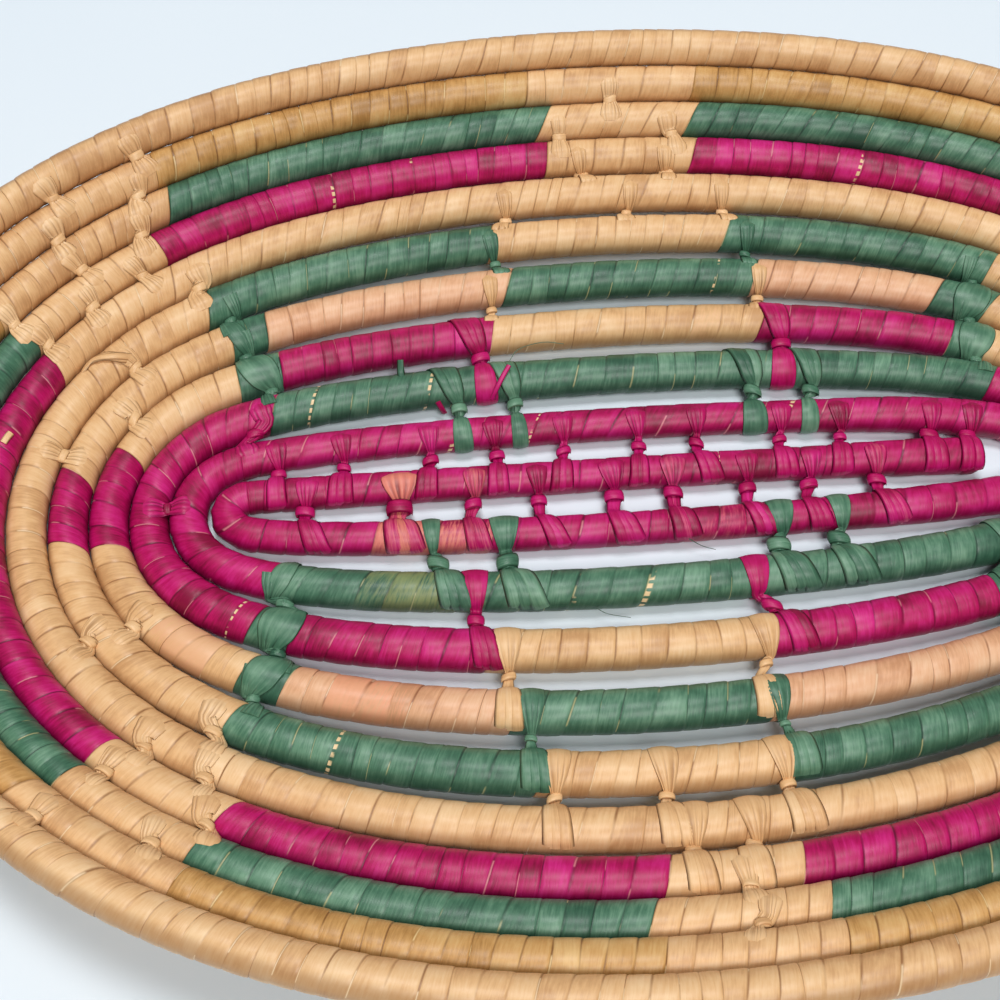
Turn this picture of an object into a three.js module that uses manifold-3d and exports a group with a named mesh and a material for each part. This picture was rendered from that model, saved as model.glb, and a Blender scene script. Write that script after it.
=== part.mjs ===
// Oval coiled basket tray: one core bundle in a flat spiral that rises to a rim, wrapped in dyed leaf strip
// and stitched row to row with knots. Millimetres, +Z up, the origin under the middle of the middle row.
import * as THREE from "three";
import { mergeVertices } from "three/addons/utils/BufferGeometryUtils.js";
import Module from "manifold-3d";

const wasm = await Module();
wasm.setup();

// Driving dimensions of the coil
const SPINE_HALF = 88.5; // from the middle to the centre of each end's arcs
const AXIS_SHIFT = -3.2; // the spiral's axis lies beside the middle row
const MIDDLE_DIAMETER = 8.0; // over the wrap, on the three middle rows
const FULL_DIAMETER = 9.8; // over the wrap, where the rows stand apart
const END_DIAMETER = 8.3; // over the wrap, where the rows lie side by side
const ROW_GAP = 0.5; // clearance between two rows that lie side by side
const FLAT_ROWS = 2; // turns that lie on the table
const RIM_TURN = 10.5; // the turn at which the wall has its full slope
const RIM_SLOPE = 42; // degrees
const OPEN_UPPER = 5.3; // extra room between the inner rows on one long side
const OPEN_LOWER = 6.5; // and on the other
const OPEN_RIM = 0.75; // extra room between the outer rows
const FADE_TURN = 5.8; // the turn where the openings close up
const FADE_SPAN = 5; // turns that the closing takes
const GROWTH_WAVE = 0.4; // share by which the turn grows faster along the ends
const MIDDLE_TURNS = [1.2, 2]; // the diameter grows between these turns
const START_SWELL = 1; // the middle rows are thicker where the coil starts
const START_REACH = [35, 70]; // from here to here along the length

// The wrap and the core in it
const WRAP_WALL = 0.8; // two layers of leaf strip
const CORE_CLEARANCE = 0.3;
const RUN_GAP = 0.3; // between the end of one colour and the start of the next
const BASE_CUT = 0.1; // share of the diameter that is flattened underneath

// How a turn is divided into places, and where the coil starts and stops
const END_STEPS = 5; // of END_ANGLE each, from the end's middle to the long side
const END_ANGLE = 15; // degrees
const SIDE_STEPS = 6; // along a long side
const SIDE_STRIDE = 2; // steps between two sections of a long side
const HALF_TURN = 2 * END_STEPS + SIDE_STEPS;
const TURN = 2 * HALF_TURN;
const FIRST = 5.72; // where the middle row starts
const LAST = 10 * TURN + 17.5; // where the rim's tail ends
const TAIL = 3; // steps over which the tail grows thin
const TAIL_SHARE = 0.6; // of the diameter, at its tip
const LEAST_STEP = 0.03; // between two sections of one stretch

// Stitches
const KNOT_WIDTH = 2.8; // at the tight knot, along the row
const FAN_WIDTH = 5.2; // where the pleats leave the row
const FOOT_WIDTH = 4.2; // where the pleats meet the next row
const KNOT_HEIGHT = 2.4;
const FAN_HEIGHT = 3.4;
const KNOT_SEAT = 0.45; // how deep a stitch is set in its own wrap
const KNOT_CLEARANCE = 0.4; // from a stitch to the wrap that it is drawn against
const WELD_WIDTH = 2.4; // of a short stitch between rows that lie side by side
const STRAP_WIDTH = 4;
const STRAP_THICKNESS = 0.6;
const STRAP_CLEARANCE = 0.35;

const FINISHES = {
  core: { color: 0xb89a63, roughness: 0.95 },
  magenta: { color: 0xb01c55, roughness: 0.55 },
  green: { color: 0x35705a, roughness: 0.6 },
  natural: { color: 0xdcb27c, roughness: 0.6 },
  peach: { color: 0xe0a67c, roughness: 0.6 },
  mustard: { color: 0xc08e44, roughness: 0.6 },
};

// The colour chart, from the middle to the rim. Each run has its node, its finish, and the turn and the
// place in the turn (in stations, anticlockwise from the right-hand end) where it stops.
const CHART = [
  ["middle_wrap", "magenta", 1, 21.1],
  ["lower_green_row", "green", 1, 26.9],
  ["right_end_magenta", "magenta", 2, 4.9],
  ["upper_green_row", "green", 2, 10.95],
  ["left_end_magenta", "magenta", 2, 20.66],
  ["lower_left_green_chain", "green", 2, 21.05],
  ["row_2_lower_left_magenta", "magenta", 2, 22.72],
  ["row_2_lower_natural_block", "natural", 2, 24.85],
  ["row_2_lower_right_magenta", "magenta", 2, 26.95],
  ["lower_right_green_chain", "green", 2, 27.34],
  ["right_end_lower_natural", "natural", 2, 30.8],
  ["right_end_magenta", "magenta", 3, 1.2],
  ["right_end_upper_natural", "natural", 3, 4.58],
  ["upper_right_green_chain", "green", 3, 4.95],
  ["row_3_upper_right_magenta", "magenta", 3, 6.65],
  ["row_3_upper_natural_block", "natural", 3, 9],
  ["row_3_upper_left_magenta", "magenta", 3, 11.05],
  ["upper_left_green_chain", "green", 3, 11.45],
  ["left_end_upper_natural", "natural", 3, 14.4],
  ["left_end_magenta", "magenta", 3, 17.05],
  ["left_end_lower_natural", "natural", 3, 20.4],
  ["lower_left_green_chain", "green", 3, 20.8],
  ["row_3_lower_left_peach", "peach", 3, 22.7],
  ["row_3_lower_green_block", "green", 3, 24.9],
  ["row_3_lower_right_peach", "peach", 3, 27.2],
  ["lower_right_green_chain", "green", 3, 27.6],
  ["right_end_lower_natural", "natural", 3, 31.1],
  ["right_end_magenta", "magenta", 4, 0.9],
  ["right_end_upper_natural", "natural", 4, 4.25],
  ["upper_right_green_chain", "green", 4, 4.7],
  ["row_4_upper_right_peach", "peach", 4, 6.55],
  ["row_4_upper_green_block", "green", 4, 9],
  ["row_4_upper_left_peach", "peach", 4, 11.3],
  ["upper_left_green_chain", "green", 4, 11.62],
  ["left_end_upper_natural", "natural", 4, 14.9],
  ["left_end_magenta", "magenta", 4, 16.55],
  ["left_end_lower_natural", "natural", 4, 20.25],
  ["lower_left_green_chain", "green", 4, 22.7],
  ["row_4_lower_natural_block", "natural", 4, 25.05],
  ["lower_right_green_chain", "green", 4, 27.75],
  ["row_5_right_end_natural", "natural", 5, 4.15],
  ["upper_right_green_chain", "green", 5, 6.55],
  ["row_5_upper_natural_block", "natural", 5, 9],
  ["upper_left_green_chain", "green", 5, 11.7],
  ["row_5_left_end_natural", "natural", 5, 20.2],
  ["row_5_lower_natural", "natural", 5, 28.7],
  ["row_6_right_end_magenta", "magenta", 6, 2.3],
  ["row_6_upper_natural", "natural", 6, 13.7],
  ["row_6_left_end_magenta", "magenta", 6, 19.3],
  ["lower_left_natural_corner", "natural", 6, 20.35],
  ["row_6_lower_left_magenta", "magenta", 6, 23.6],
  ["lower_natural_crown", "natural", 6, 24.95],
  ["row_6_lower_right_magenta", "magenta", 6, 27.65],
  ["lower_right_natural_corner", "natural", 6, 28.8],
  ["row_7_right_end_green", "green", 7, 2.25],
  ["upper_right_natural_corner", "natural", 7, 4],
  ["row_7_upper_right_magenta", "magenta", 7, 6.9],
  ["upper_natural_crown", "natural", 7, 8.4],
  ["row_7_upper_left_magenta", "magenta", 7, 12],
  ["upper_left_natural_corner", "natural", 7, 13.75],
  ["row_7_left_end_green", "green", 7, 19.2],
  ["lower_left_natural_corner", "natural", 7, 20.2],
  ["row_7_lower_left_green", "green", 7, 23.5],
  ["lower_natural_crown", "natural", 7, 24.9],
  ["row_7_lower_right_green", "green", 7, 27.7],
  ["lower_right_natural_corner", "natural", 7, 28.8],
  ["row_8_right_end_mustard", "mustard", 8, 2.2],
  ["upper_right_natural_corner", "natural", 8, 4],
  ["row_8_upper_right_green", "green", 8, 6.8],
  ["upper_natural_crown", "natural", 8, 8.5],
  ["row_8_upper_left_green", "green", 8, 11.9],
  ["upper_left_natural_corner", "natural", 8, 13.8],
  ["row_8_left_end_mustard", "mustard", 8, 19.2],
  ["lower_left_natural_corner", "natural", 8, 20.2],
  ["row_8_lower_left_mustard", "mustard", 8, 23.4],
  ["lower_natural_crown", "natural", 8, 25],
  ["row_8_lower_right_mustard", "mustard", 8, 27.8],
  ["row_9_right_end_natural", "natural", 9, 4.1],
  ["row_9_upper_right_mustard", "mustard", 9, 6.8],
  ["upper_natural_crown", "natural", 9, 8.5],
  ["row_9_upper_left_mustard", "mustard", 9, 11.85],
  ["row_9_left_and_lower_natural", "natural", 9, 28],
  ["rim_right_end_wrap", "natural", 10, 4],
  ["rim_upper_and_tail_wrap", "natural", 10, 17.5],
];

// Stitches across the open rows: the inner row's turn, which row's strip makes them, and the places where
// each leaves the inner row and meets the outer one
const OPEN_STITCHES = [
  [0, "both", [[6.2, 5.87], [6.84, 6.6], [7.2, 7.02], [7.65, 7.56], [7.95, 7.92]]],
  [0, "both", [[8.35, 8.38], [8.7, 8.82], [9.1, 9.26], [9.7, 9.95], [10.35, 10.65]]],
  [2, "inner", [[22.86, 22.86], [24.76, 24.76]]],
  [3, "inner", [[22.82, 22.82], [24.8, 24.8]]],
  [4, "inner", [[22.86, 22.86], [23.85, 23.85], [24.86, 24.86]]],
  [5, "inner", [[22.75, 22.75], [23.95, 23.95], [24.5, 24.5]]],
  [3, "inner", [[6.74, 6.74], [8.88, 8.88]]],
  [4, "inner", [[6.68, 6.68], [8.88, 8.88]]],
  [5, "inner", [[6.68, 6.68], [7.65, 7.65], [8.86, 8.86]]],
  [6, "inner", [[7.2, 7.2], [8.05, 8.05]]],
  [1, "outer", [[20.9, 20.86], [27.12, 27.15]]],
  [2, "outer", [[4.8, 4.77], [11.1, 11.25]]],
];
// Stitches between the two halves of the middle turn: their places on its upper and its lower row
const MIDDLE_STITCHES = [
  [10.05, 21.8], [9.3, 22.55], [8.85, 23.02], [8.5, 23.43], [8.1, 23.85],
  [7.8, 24.2], [7.4, 24.62], [7.05, 24.99], [6.65, 25.5],
];
// Strips that lap right over the row inside theirs before they are knotted: that row's turn, and the places
// of the lap on it and of the knot on their own row
const STRAPS = [
  [1, [[9.03, 9.19], [8.66, 8.76], [7.19, 7], [6.82, 6.53]]],
  [2, [[8.97, 9.12], [6.77, 6.52]]],
  [0, [[22.79, 22.59], [23.22, 23.07], [24.8, 24.88], [25.18, 25.33]]],
  [1, [[22.83, 22.58], [24.68, 24.97]]],
];
// Short stitches that join runs of one colour on rows side by side: the inner row's turn and the places
const WELDS = [
  [1, [31.4]],
  [2, [15.3, 20.73, 27.27, 29.4, 31.4]],
  [3, [3, 4.65, 11.37, 13, 15.7, 18.8, 20.6, 27.4]],
  [4, [4.45, 11.46]],
  [6, [19.75, 24.3, 28.2]],
  [7, [3.2, 7.7, 12.8, 19.7, 24.3]],
  [8, [7.7]],
];

// Half a section, in shares of the radius: a hexagon with its lower side flattened for the table
const SECTION = [
  [1, 0], [0.5, Math.sqrt(3) / 2], [-0.5, Math.sqrt(3) / 2],
  [-1, 0], [-0.5, 2 * BASE_CUT - 1], [0.5, 2 * BASE_CUT - 1],
];
const SIDES = SECTION.length;
const UP = new THREE.Vector3(0, 0, 1);

const radians = THREE.MathUtils.degToRad;
const smooth = (x) => THREE.MathUtils.smoothstep(x, 0, 1);
const mix = THREE.MathUtils.lerp;

// The wall's slope, in radians, at a level counted in turns
function slopeAt(level) {
  return radians(RIM_SLOPE) * Math.max(0, (level - FLAT_ROWS) / (RIM_TURN - FLAT_ROWS));
}

// Room between the rows of a long side at a level, beyond what the ends have
function openingAt(level, first) {
  return mix(first, OPEN_RIM, smooth((level - FADE_TURN + FADE_SPAN / 2) / FADE_SPAN));
}

// The rows' reach, rise and openings, summed level by level from the middle
const LEVEL_STEP = 0.01;
const LEVELS = 1200;
const ladder = [{ reach: 0, rise: 0, upper: 0, lower: 0 }];
for (let i = 1; i <= LEVELS; i += 1) {
  const level = i * LEVEL_STEP;
  const below = ladder[i - 1];
  const step = (END_DIAMETER + ROW_GAP) * LEVEL_STEP;
  ladder.push({
    reach: below.reach + step * Math.cos(slopeAt(level)),
    rise: below.rise + step * Math.sin(slopeAt(level)),
    upper: below.upper + openingAt(level, OPEN_UPPER) * LEVEL_STEP,
    lower: below.lower + openingAt(level, OPEN_LOWER) * LEVEL_STEP,
  });
}

function ladderAt(level, key) {
  const at = THREE.MathUtils.clamp(level / LEVEL_STEP, 0, LEVELS - 1.001);
  const i = Math.floor(at);
  return mix(ladder[i][key], ladder[i + 1][key], at - i);
}

// Where a place in the turn lies on the slim ellipse that the rows run parallel to: its parameter, and the
// angle of its normal
function bearing(place, opening) {
  const lower = place >= HALF_TURN;
  const p = lower ? place - HALF_TURN : place;
  const onEllipse = (angle) => Math.atan2(opening * Math.sin(angle), SPINE_HALF * Math.cos(angle));
  const corner = onEllipse(radians(END_ANGLE * END_STEPS));
  let angle;
  let parameter;
  if (p <= END_STEPS) {
    angle = radians(END_ANGLE * p);
    parameter = onEllipse(angle);
  } else if (p < END_STEPS + SIDE_STEPS) {
    parameter = mix(corner, Math.PI - corner, (p - END_STEPS) / SIDE_STEPS);
    angle = Math.atan2(SPINE_HALF * Math.sin(parameter), opening * Math.cos(parameter));
  } else {
    angle = Math.PI - radians(END_ANGLE * (HALF_TURN - p));
    parameter = Math.PI - onEllipse(Math.PI - angle);
  }
  const half = lower ? Math.PI : 0;
  return { parameter: parameter + half, angle: angle + half };
}

// The coil's centre line on its own surface at a station: where it is, which way is out, and its level
function trackAt(station) {
  const turn = Math.floor(station / TURN + 1e-9);
  const place = station - turn * TURN;
  const side = place < HALF_TURN ? "upper" : "lower";
  let level = turn + place / TURN;
  let at;
  for (let pass = 0; pass < 4; pass += 1) {
    at = bearing(place, Math.max(ladderAt(level, side), 1e-3));
    const grown = at.parameter / (2 * Math.PI);
    level = turn + grown + (GROWTH_WAVE * Math.sin(2 * at.parameter)) / (4 * Math.PI);
  }
  const reach = ladderAt(level, "reach");
  const opening = Math.max(ladderAt(level, side), 1e-3);
  const point = new THREE.Vector3(
    SPINE_HALF * Math.cos(at.parameter) + reach * Math.cos(at.angle),
    opening * Math.sin(at.parameter) + reach * Math.sin(at.angle) + AXIS_SHIFT,
    ladderAt(level, "rise"),
  );
  return { point, out: new THREE.Vector3(Math.cos(at.angle), Math.sin(at.angle), 0), level };
}

const tracks = new Map();
function track(station) {
  if (!tracks.has(station)) {
    tracks.set(station, trackAt(station));
  }
  return tracks.get(station);
}

// The radius over the wrap: full where there is room, and held by the nearer row where there is less
function radiusAt(station) {
  const { point, level } = track(station);
  const [thin, full] = MIDDLE_TURNS;
  const [from, to] = START_REACH;
  const middle = MIDDLE_DIAMETER + START_SWELL * smooth((point.x - from) / (to - from));
  const free = mix(middle, FULL_DIAMETER, smooth((level - thin) / (full - thin)));
  let room = track(station + TURN).point.distanceTo(point);
  if (station >= TURN) {
    room = Math.min(room, track(station - TURN).point.distanceTo(point));
  }
  const tail = smooth((LAST - station) / TAIL);
  return (Math.min(free, room - ROW_GAP) / 2) * mix(TAIL_SHARE, 1, tail);
}

// A section of the coil: centre, axes and radius. It tilts with the wall on its lower inner corner.
function sectionAt(station) {
  const { point, out, level } = track(station);
  const radius = radiusAt(station);
  const slope = slopeAt(level);
  const across = out.clone().multiplyScalar(Math.cos(slope)).addScaledVector(UP, Math.sin(slope));
  const up = out.clone().multiplyScalar(-Math.sin(slope)).addScaledVector(UP, Math.cos(slope));
  const lift = radius * ((1 - 2 * BASE_CUT) * Math.cos(slope) + Math.sin(slope) / 2);
  const centre = point.clone().addScaledVector(UP, lift);
  return { centre, across, up, radius };
}

// Sections stand at every step round the ends, and at every second one along the sides
function hasSection(station) {
  const place = station % HALF_TURN;
  return place < END_STEPS || place > END_STEPS + SIDE_STEPS || (place - END_STEPS) % SIDE_STRIDE === 0;
}

const sections = new Map();
function keptSection(station) {
  if (!sections.has(station)) {
    sections.set(station, sectionAt(station));
  }
  return sections.get(station);
}

// The coil at any place, on the straight stretch between the sections before and after it
function section(at) {
  let low = Math.floor(at + 1e-9);
  while (!hasSection(low)) {
    low -= 1;
  }
  let high = low + 1;
  while (!hasSection(high)) {
    high += 1;
  }
  const a = keptSection(low);
  const b = keptSection(high);
  const chord = track(high).point.clone().sub(track(low).point);
  const share = track(at).point.clone().sub(track(low).point).dot(chord) / chord.lengthSq();
  return {
    centre: a.centre.clone().lerp(b.centre, share),
    across: a.across.clone().lerp(b.across, share),
    up: a.up.clone().lerp(b.up, share),
    radius: mix(a.radius, b.radius, share),
    along: b.centre.clone().sub(a.centre).normalize(),
    step: a.centre.distanceTo(b.centre) / (high - low),
  };
}

function ring(at, inset) {
  const { centre, across, up, radius } = section(at);
  return SECTION.map(([x, y]) => centre.clone()
    .addScaledVector(across, x * (radius - inset))
    .addScaledVector(up, y * (radius - inset)));
}

// The places where a stretch of coil has its sections, with no step too short to make a sound face
function stops(from, to) {
  const list = [from];
  for (let s = Math.ceil(from + LEAST_STEP); s <= to - LEAST_STEP; s += 1) {
    if (hasSection(s)) {
      list.push(s);
    }
  }
  list.push(to);
  return list;
}

// A closed geometry from quads between rings of points, with its ends given as fans or left to the loops
function surface(points, triangles) {
  const geometry = new THREE.BufferGeometry();
  const numbers = points.flatMap((p) => p.toArray());
  geometry.setAttribute("position", new THREE.Float32BufferAttribute(numbers, 3));
  geometry.setIndex(triangles.flat());
  return geometry;
}

function quad(a, b, c, d) {
  return [[a, b, c], [a, c, d]];
}

// A solid through sections of equal counts of points, closed at both ends
function loft(rings) {
  const count = rings[0].length;
  const triangles = [];
  for (let r = 0; r + 1 < rings.length; r += 1) {
    for (let i = 0; i < count; i += 1) {
      const j = (i + 1) % count;
      triangles.push(...quad(r * count + i, r * count + j, (r + 1) * count + j, (r + 1) * count + i));
    }
  }
  const end = (rings.length - 1) * count;
  for (let i = 1; i + 1 < count; i += 1) {
    triangles.push([0, i + 1, i]);
    triangles.push([end, end + i, end + i + 1]);
  }
  return surface(rings.flat(), triangles);
}

// A tube with a wall: rings outside and inside, joined at its two open ends
function sleeve(from, to) {
  const at = stops(from, to);
  const points = at.flatMap((s) => [...ring(s, 0), ...ring(s, WRAP_WALL)]);
  const span = 2 * SIDES;
  const triangles = [];
  for (let r = 0; r + 1 < at.length; r += 1) {
    for (let i = 0; i < SIDES; i += 1) {
      const j = (i + 1) % SIDES;
      const here = r * span;
      const next = here + span;
      triangles.push(...quad(here + i, here + j, next + j, next + i));
      triangles.push(...quad(here + SIDES + i, next + SIDES + i, next + SIDES + j, here + SIDES + j));
    }
  }
  const end = (at.length - 1) * span;
  for (let i = 0; i < SIDES; i += 1) {
    const j = (i + 1) % SIDES;
    triangles.push(...quad(i, SIDES + i, SIDES + j, j));
    triangles.push(...quad(end + i, end + j, end + SIDES + j, end + SIDES + i));
  }
  return surface(points, triangles);
}

function volume(geometry) {
  const index = geometry.index.array;
  const p = geometry.attributes.position;
  const [a, b, c] = [new THREE.Vector3(), new THREE.Vector3(), new THREE.Vector3()];
  let sum = 0;
  for (let i = 0; i < index.length; i += 3) {
    a.fromBufferAttribute(p, index[i]);
    b.fromBufferAttribute(p, index[i + 1]);
    c.fromBufferAttribute(p, index[i + 2]);
    sum += a.dot(b.cross(c)) / 6;
  }
  return sum;
}

// Faces out, whichever way round its rings were walked
function outward(geometry) {
  if (volume(geometry) < 0) {
    const index = Array.from(geometry.index.array);
    for (let i = 0; i < index.length; i += 3) {
      [index[i + 1], index[i + 2]] = [index[i + 2], index[i + 1]];
    }
    geometry.setIndex(index);
  }
  return geometry;
}

function solid(geometry) {
  const merged = mergeVertices(outward(geometry), 1e-4);
  return new wasm.Manifold(new wasm.Mesh({
    numProp: 3,
    vertProperties: Float32Array.from(merged.attributes.position.array),
    triVerts: Uint32Array.from(merged.index.array),
  }));
}

function geometryOf(manifold) {
  const mesh = manifold.getMesh();
  const geometry = new THREE.BufferGeometry();
  geometry.setAttribute("position", new THREE.BufferAttribute(Float32Array.from(mesh.vertProperties), 3));
  geometry.setIndex(Array.from(mesh.triVerts));
  return geometry;
}

// Which run covers a station
const runs = [];
let begin = FIRST;
for (const [node, finish, turn, place] of CHART) {
  const end = turn * TURN + place;
  runs.push({ node, finish, from: begin, to: end });
  begin = end;
}

function runAt(station) {
  return runs.find((run) => station >= run.from && station <= run.to);
}

// A stitch between the facing sides of two rows: a fan of pleats that is drawn in to a knot and spreads
// again. Each end is set in its own wrap, or stands clear of a wrap that it is only drawn against.
function stitch(a, b, seatA, seatB, widths, sideB = 1) {
  const turned = a.along.dot(b.along) < 0 ? -1 : 1;
  const start = a.centre.clone().addScaledVector(a.across, seatA - a.radius);
  const stop = b.centre.clone().addScaledVector(b.across, sideB * (b.radius - seatB));
  const profile = [
    [0, widths.fan, FAN_HEIGHT],
    [0.5, widths.knot, KNOT_HEIGHT],
    [1, widths.foot, FAN_HEIGHT],
  ];
  return loft(profile.map(([share, width, height]) => {
    const middle = start.clone().lerp(stop, share);
    const along = a.along.clone().lerp(b.along.clone().multiplyScalar(turned), share).normalize();
    const upright = a.up.clone().lerp(b.up, share).normalize();
    return [[-1, -1], [1, -1], [1, 1], [-1, 1]].map(([x, y]) => middle.clone()
      .addScaledVector(along, (x * width) / 2)
      .addScaledVector(upright, (y * height) / 2));
  }));
}

// A strip that laps over a row: a thin band over its top and both sides, open underneath
function strap(a) {
  const half = STRAP_WIDTH / 2;
  const band = [5, 0, 1, 2, 3, 4].map((i) => SECTION[i]);
  const clear = STRAP_CLEARANCE;
  const rings = [-half, half].map((shift) => {
    const outside = [];
    const inside = [];
    for (const [x, y] of band) {
      for (const [list, grow] of [[outside, clear + STRAP_THICKNESS], [inside, clear]]) {
        const low = y < 0;
        list.push(a.centre.clone()
          .addScaledVector(a.along, shift)
          .addScaledVector(a.across, x * a.radius + Math.sign(x) * grow * (low ? 1.6 : 1.15))
          .addScaledVector(a.up, y * a.radius + (low ? clear : Math.sign(y) * grow)));
      }
    }
    return [...outside, ...inside.reverse()];
  });
  const count = rings[0].length;
  const columns = count / 2;
  const triangles = [];
  for (let i = 0; i < count; i += 1) {
    const j = (i + 1) % count;
    triangles.push(...quad(i, j, count + j, count + i));
  }
  for (let i = 0; i + 1 < columns; i += 1) {
    const k = count - 1 - i;
    triangles.push(...quad(i, k, k - 1, i + 1));
    triangles.push(...quad(count + i, count + i + 1, count + k - 1, count + k));
  }
  return surface(rings.flat(), triangles);
}

// Collect what each node is made of
const nodes = new Map();
function addTo(name, finish, geometry) {
  if (!nodes.has(name)) {
    nodes.set(name, { finish, pieces: [] });
  }
  nodes.get(name).pieces.push(geometry);
}

for (const { node, finish, from, to } of runs) {
  const before = from === FIRST ? 0 : RUN_GAP / 2 / section(from).step;
  const after = to === LAST ? 0 : RUN_GAP / 2 / section(to - 1e-6).step;
  addTo(node, finish, sleeve(from + before, to - after));
}

const FULL_WIDTHS = { fan: FAN_WIDTH, knot: KNOT_WIDTH, foot: FOOT_WIDTH };
const STRAP_WIDTHS = { fan: FAN_WIDTH, knot: KNOT_WIDTH, foot: STRAP_WIDTH - 0.4 };
const WELD_WIDTHS = { fan: WELD_WIDTH, knot: WELD_WIDTH, foot: WELD_WIDTH };

for (const [turn, owner, places] of OPEN_STITCHES) {
  for (const [inner, outer] of places) {
    const seatInner = owner === "outer" ? -KNOT_CLEARANCE : KNOT_SEAT;
    const seatOuter = owner === "inner" ? -KNOT_CLEARANCE : KNOT_SEAT;
    const near = turn * TURN + inner;
    const far = (turn + 1) * TURN + outer;
    const run = runAt(owner === "inner" ? near : far);
    addTo(run.node, run.finish, stitch(section(far), section(near), seatOuter, seatInner, FULL_WIDTHS));
  }
}

for (const [upper, lower] of MIDDLE_STITCHES) {
  const { node, finish } = runAt(upper);
  addTo(node, finish, stitch(section(upper), section(lower), KNOT_SEAT, KNOT_SEAT, FULL_WIDTHS, -1));
}

for (const [turn, places] of STRAPS) {
  for (const [lap, knot] of places) {
    const held = section(turn * TURN + lap);
    const far = (turn + 1) * TURN + knot;
    const run = runAt(far);
    const clear = STRAP_CLEARANCE + STRAP_THICKNESS / 2;
    addTo(run.node, run.finish, strap(held));
    addTo(run.node, run.finish, stitch(section(far), held, KNOT_SEAT, -clear, STRAP_WIDTHS));
  }
}

for (const [turn, places] of WELDS) {
  for (const place of places) {
    const near = turn * TURN + place;
    const { node, finish } = runAt(near);
    const weld = stitch(section(near + TURN), section(near), KNOT_SEAT, KNOT_SEAT, WELD_WIDTHS);
    addTo(node, finish, weld);
  }
}

const basket = new THREE.Group();
basket.name = "oval_coiled_basket";

function addMesh(name, finish, geometry) {
  const material = new THREE.MeshStandardMaterial({ ...FINISHES[finish], metalness: 0 });
  const mesh = new THREE.Mesh(geometry, material);
  mesh.name = name;
  basket.add(mesh);
}

const coreInset = WRAP_WALL + CORE_CLEARANCE;
addMesh("core_coil", "core", outward(loft(stops(FIRST, LAST).map((s) => ring(s, coreInset)))));

for (const [name, { finish, pieces }] of nodes) {
  const [first, ...rest] = pieces.map(solid);
  const joined = rest.reduce((whole, piece) => whole.add(piece), first);
  addMesh(name, finish, geometryOf(joined));
}

// The core is one unbroken tube: its least gap to itself, measured between centres a turn or half a turn
// apart
let leastGap = Infinity;
for (let s = FIRST; s + TURN <= LAST; s += 0.5) {
  const a = section(s);
  const b = section(s + TURN);
  leastGap = Math.min(leastGap, a.centre.distanceTo(b.centre) - a.radius - b.radius + 2 * coreInset);
}
for (let place = FIRST; place < HALF_TURN - 3; place += 0.5) {
  const a = section(place);
  const b = section(TURN - place);
  leastGap = Math.min(leastGap, a.centre.distanceTo(b.centre) - a.radius - b.radius + 2 * coreInset);
}
console.log(`least gap of the core to itself: ${leastGap.toFixed(2)} mm`);

export default basket;
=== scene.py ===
"""Oval coiled basket tray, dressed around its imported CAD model.

One bundle of fibre lies in a flat spiral that rises to a rim. Dyed leaf strip is wound round it, and pleats,
straps and knots of the same strip hold each row to the next. Lengths in the classes are millimetres.
"""

import logging
import math
from collections import defaultdict
from dataclasses import dataclass, field
from enum import Enum
from functools import cached_property

import bmesh
import bpy
import numpy as np
from mathutils import Matrix, Vector

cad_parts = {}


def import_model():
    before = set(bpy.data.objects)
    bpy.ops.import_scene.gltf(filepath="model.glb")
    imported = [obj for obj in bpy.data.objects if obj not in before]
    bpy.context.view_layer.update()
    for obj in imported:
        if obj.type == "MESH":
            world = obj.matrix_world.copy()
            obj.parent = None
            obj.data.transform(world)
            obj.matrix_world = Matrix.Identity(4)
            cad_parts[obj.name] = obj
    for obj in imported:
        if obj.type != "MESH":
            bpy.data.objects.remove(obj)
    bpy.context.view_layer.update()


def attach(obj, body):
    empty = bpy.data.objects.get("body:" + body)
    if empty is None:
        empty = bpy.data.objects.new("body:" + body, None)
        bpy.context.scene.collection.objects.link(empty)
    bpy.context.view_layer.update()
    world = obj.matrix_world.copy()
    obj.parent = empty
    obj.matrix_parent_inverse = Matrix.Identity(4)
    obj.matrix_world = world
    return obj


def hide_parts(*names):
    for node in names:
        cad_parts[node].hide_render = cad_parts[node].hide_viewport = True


MM = 0.001
# A row's height over and under its middle, in radii
ROW_TOP, ROW_BASE = 0.94, 0.8
Colour = tuple[float, float, float]
Inputs = dict[str | int, object]
Lines = list[dict[str, np.ndarray]]
Socket = bpy.types.NodeSocket
log = logging.getLogger("basket")


class Leaf(Enum):
    """The dyes that the leaf strip comes in, named as the record's material slots."""

    MAGENTA = "magenta"
    GREEN = "green"
    NATURAL = "natural"
    PEACH = "peach"
    MUSTARD = "mustard"


@dataclass(frozen=True)
class Dye:
    """How one dye looks on the leaf, as linear colours."""

    leaf: Leaf
    deep: Colour
    body: Colour
    bright: Colour
    faded: Colour
    # Dark seams, and painted shade in pleat hollows and on the sides where rows face each other, take this colour
    seam_and_shade: Colour
    pale: Colour
    roughness: float = 0.39


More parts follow.
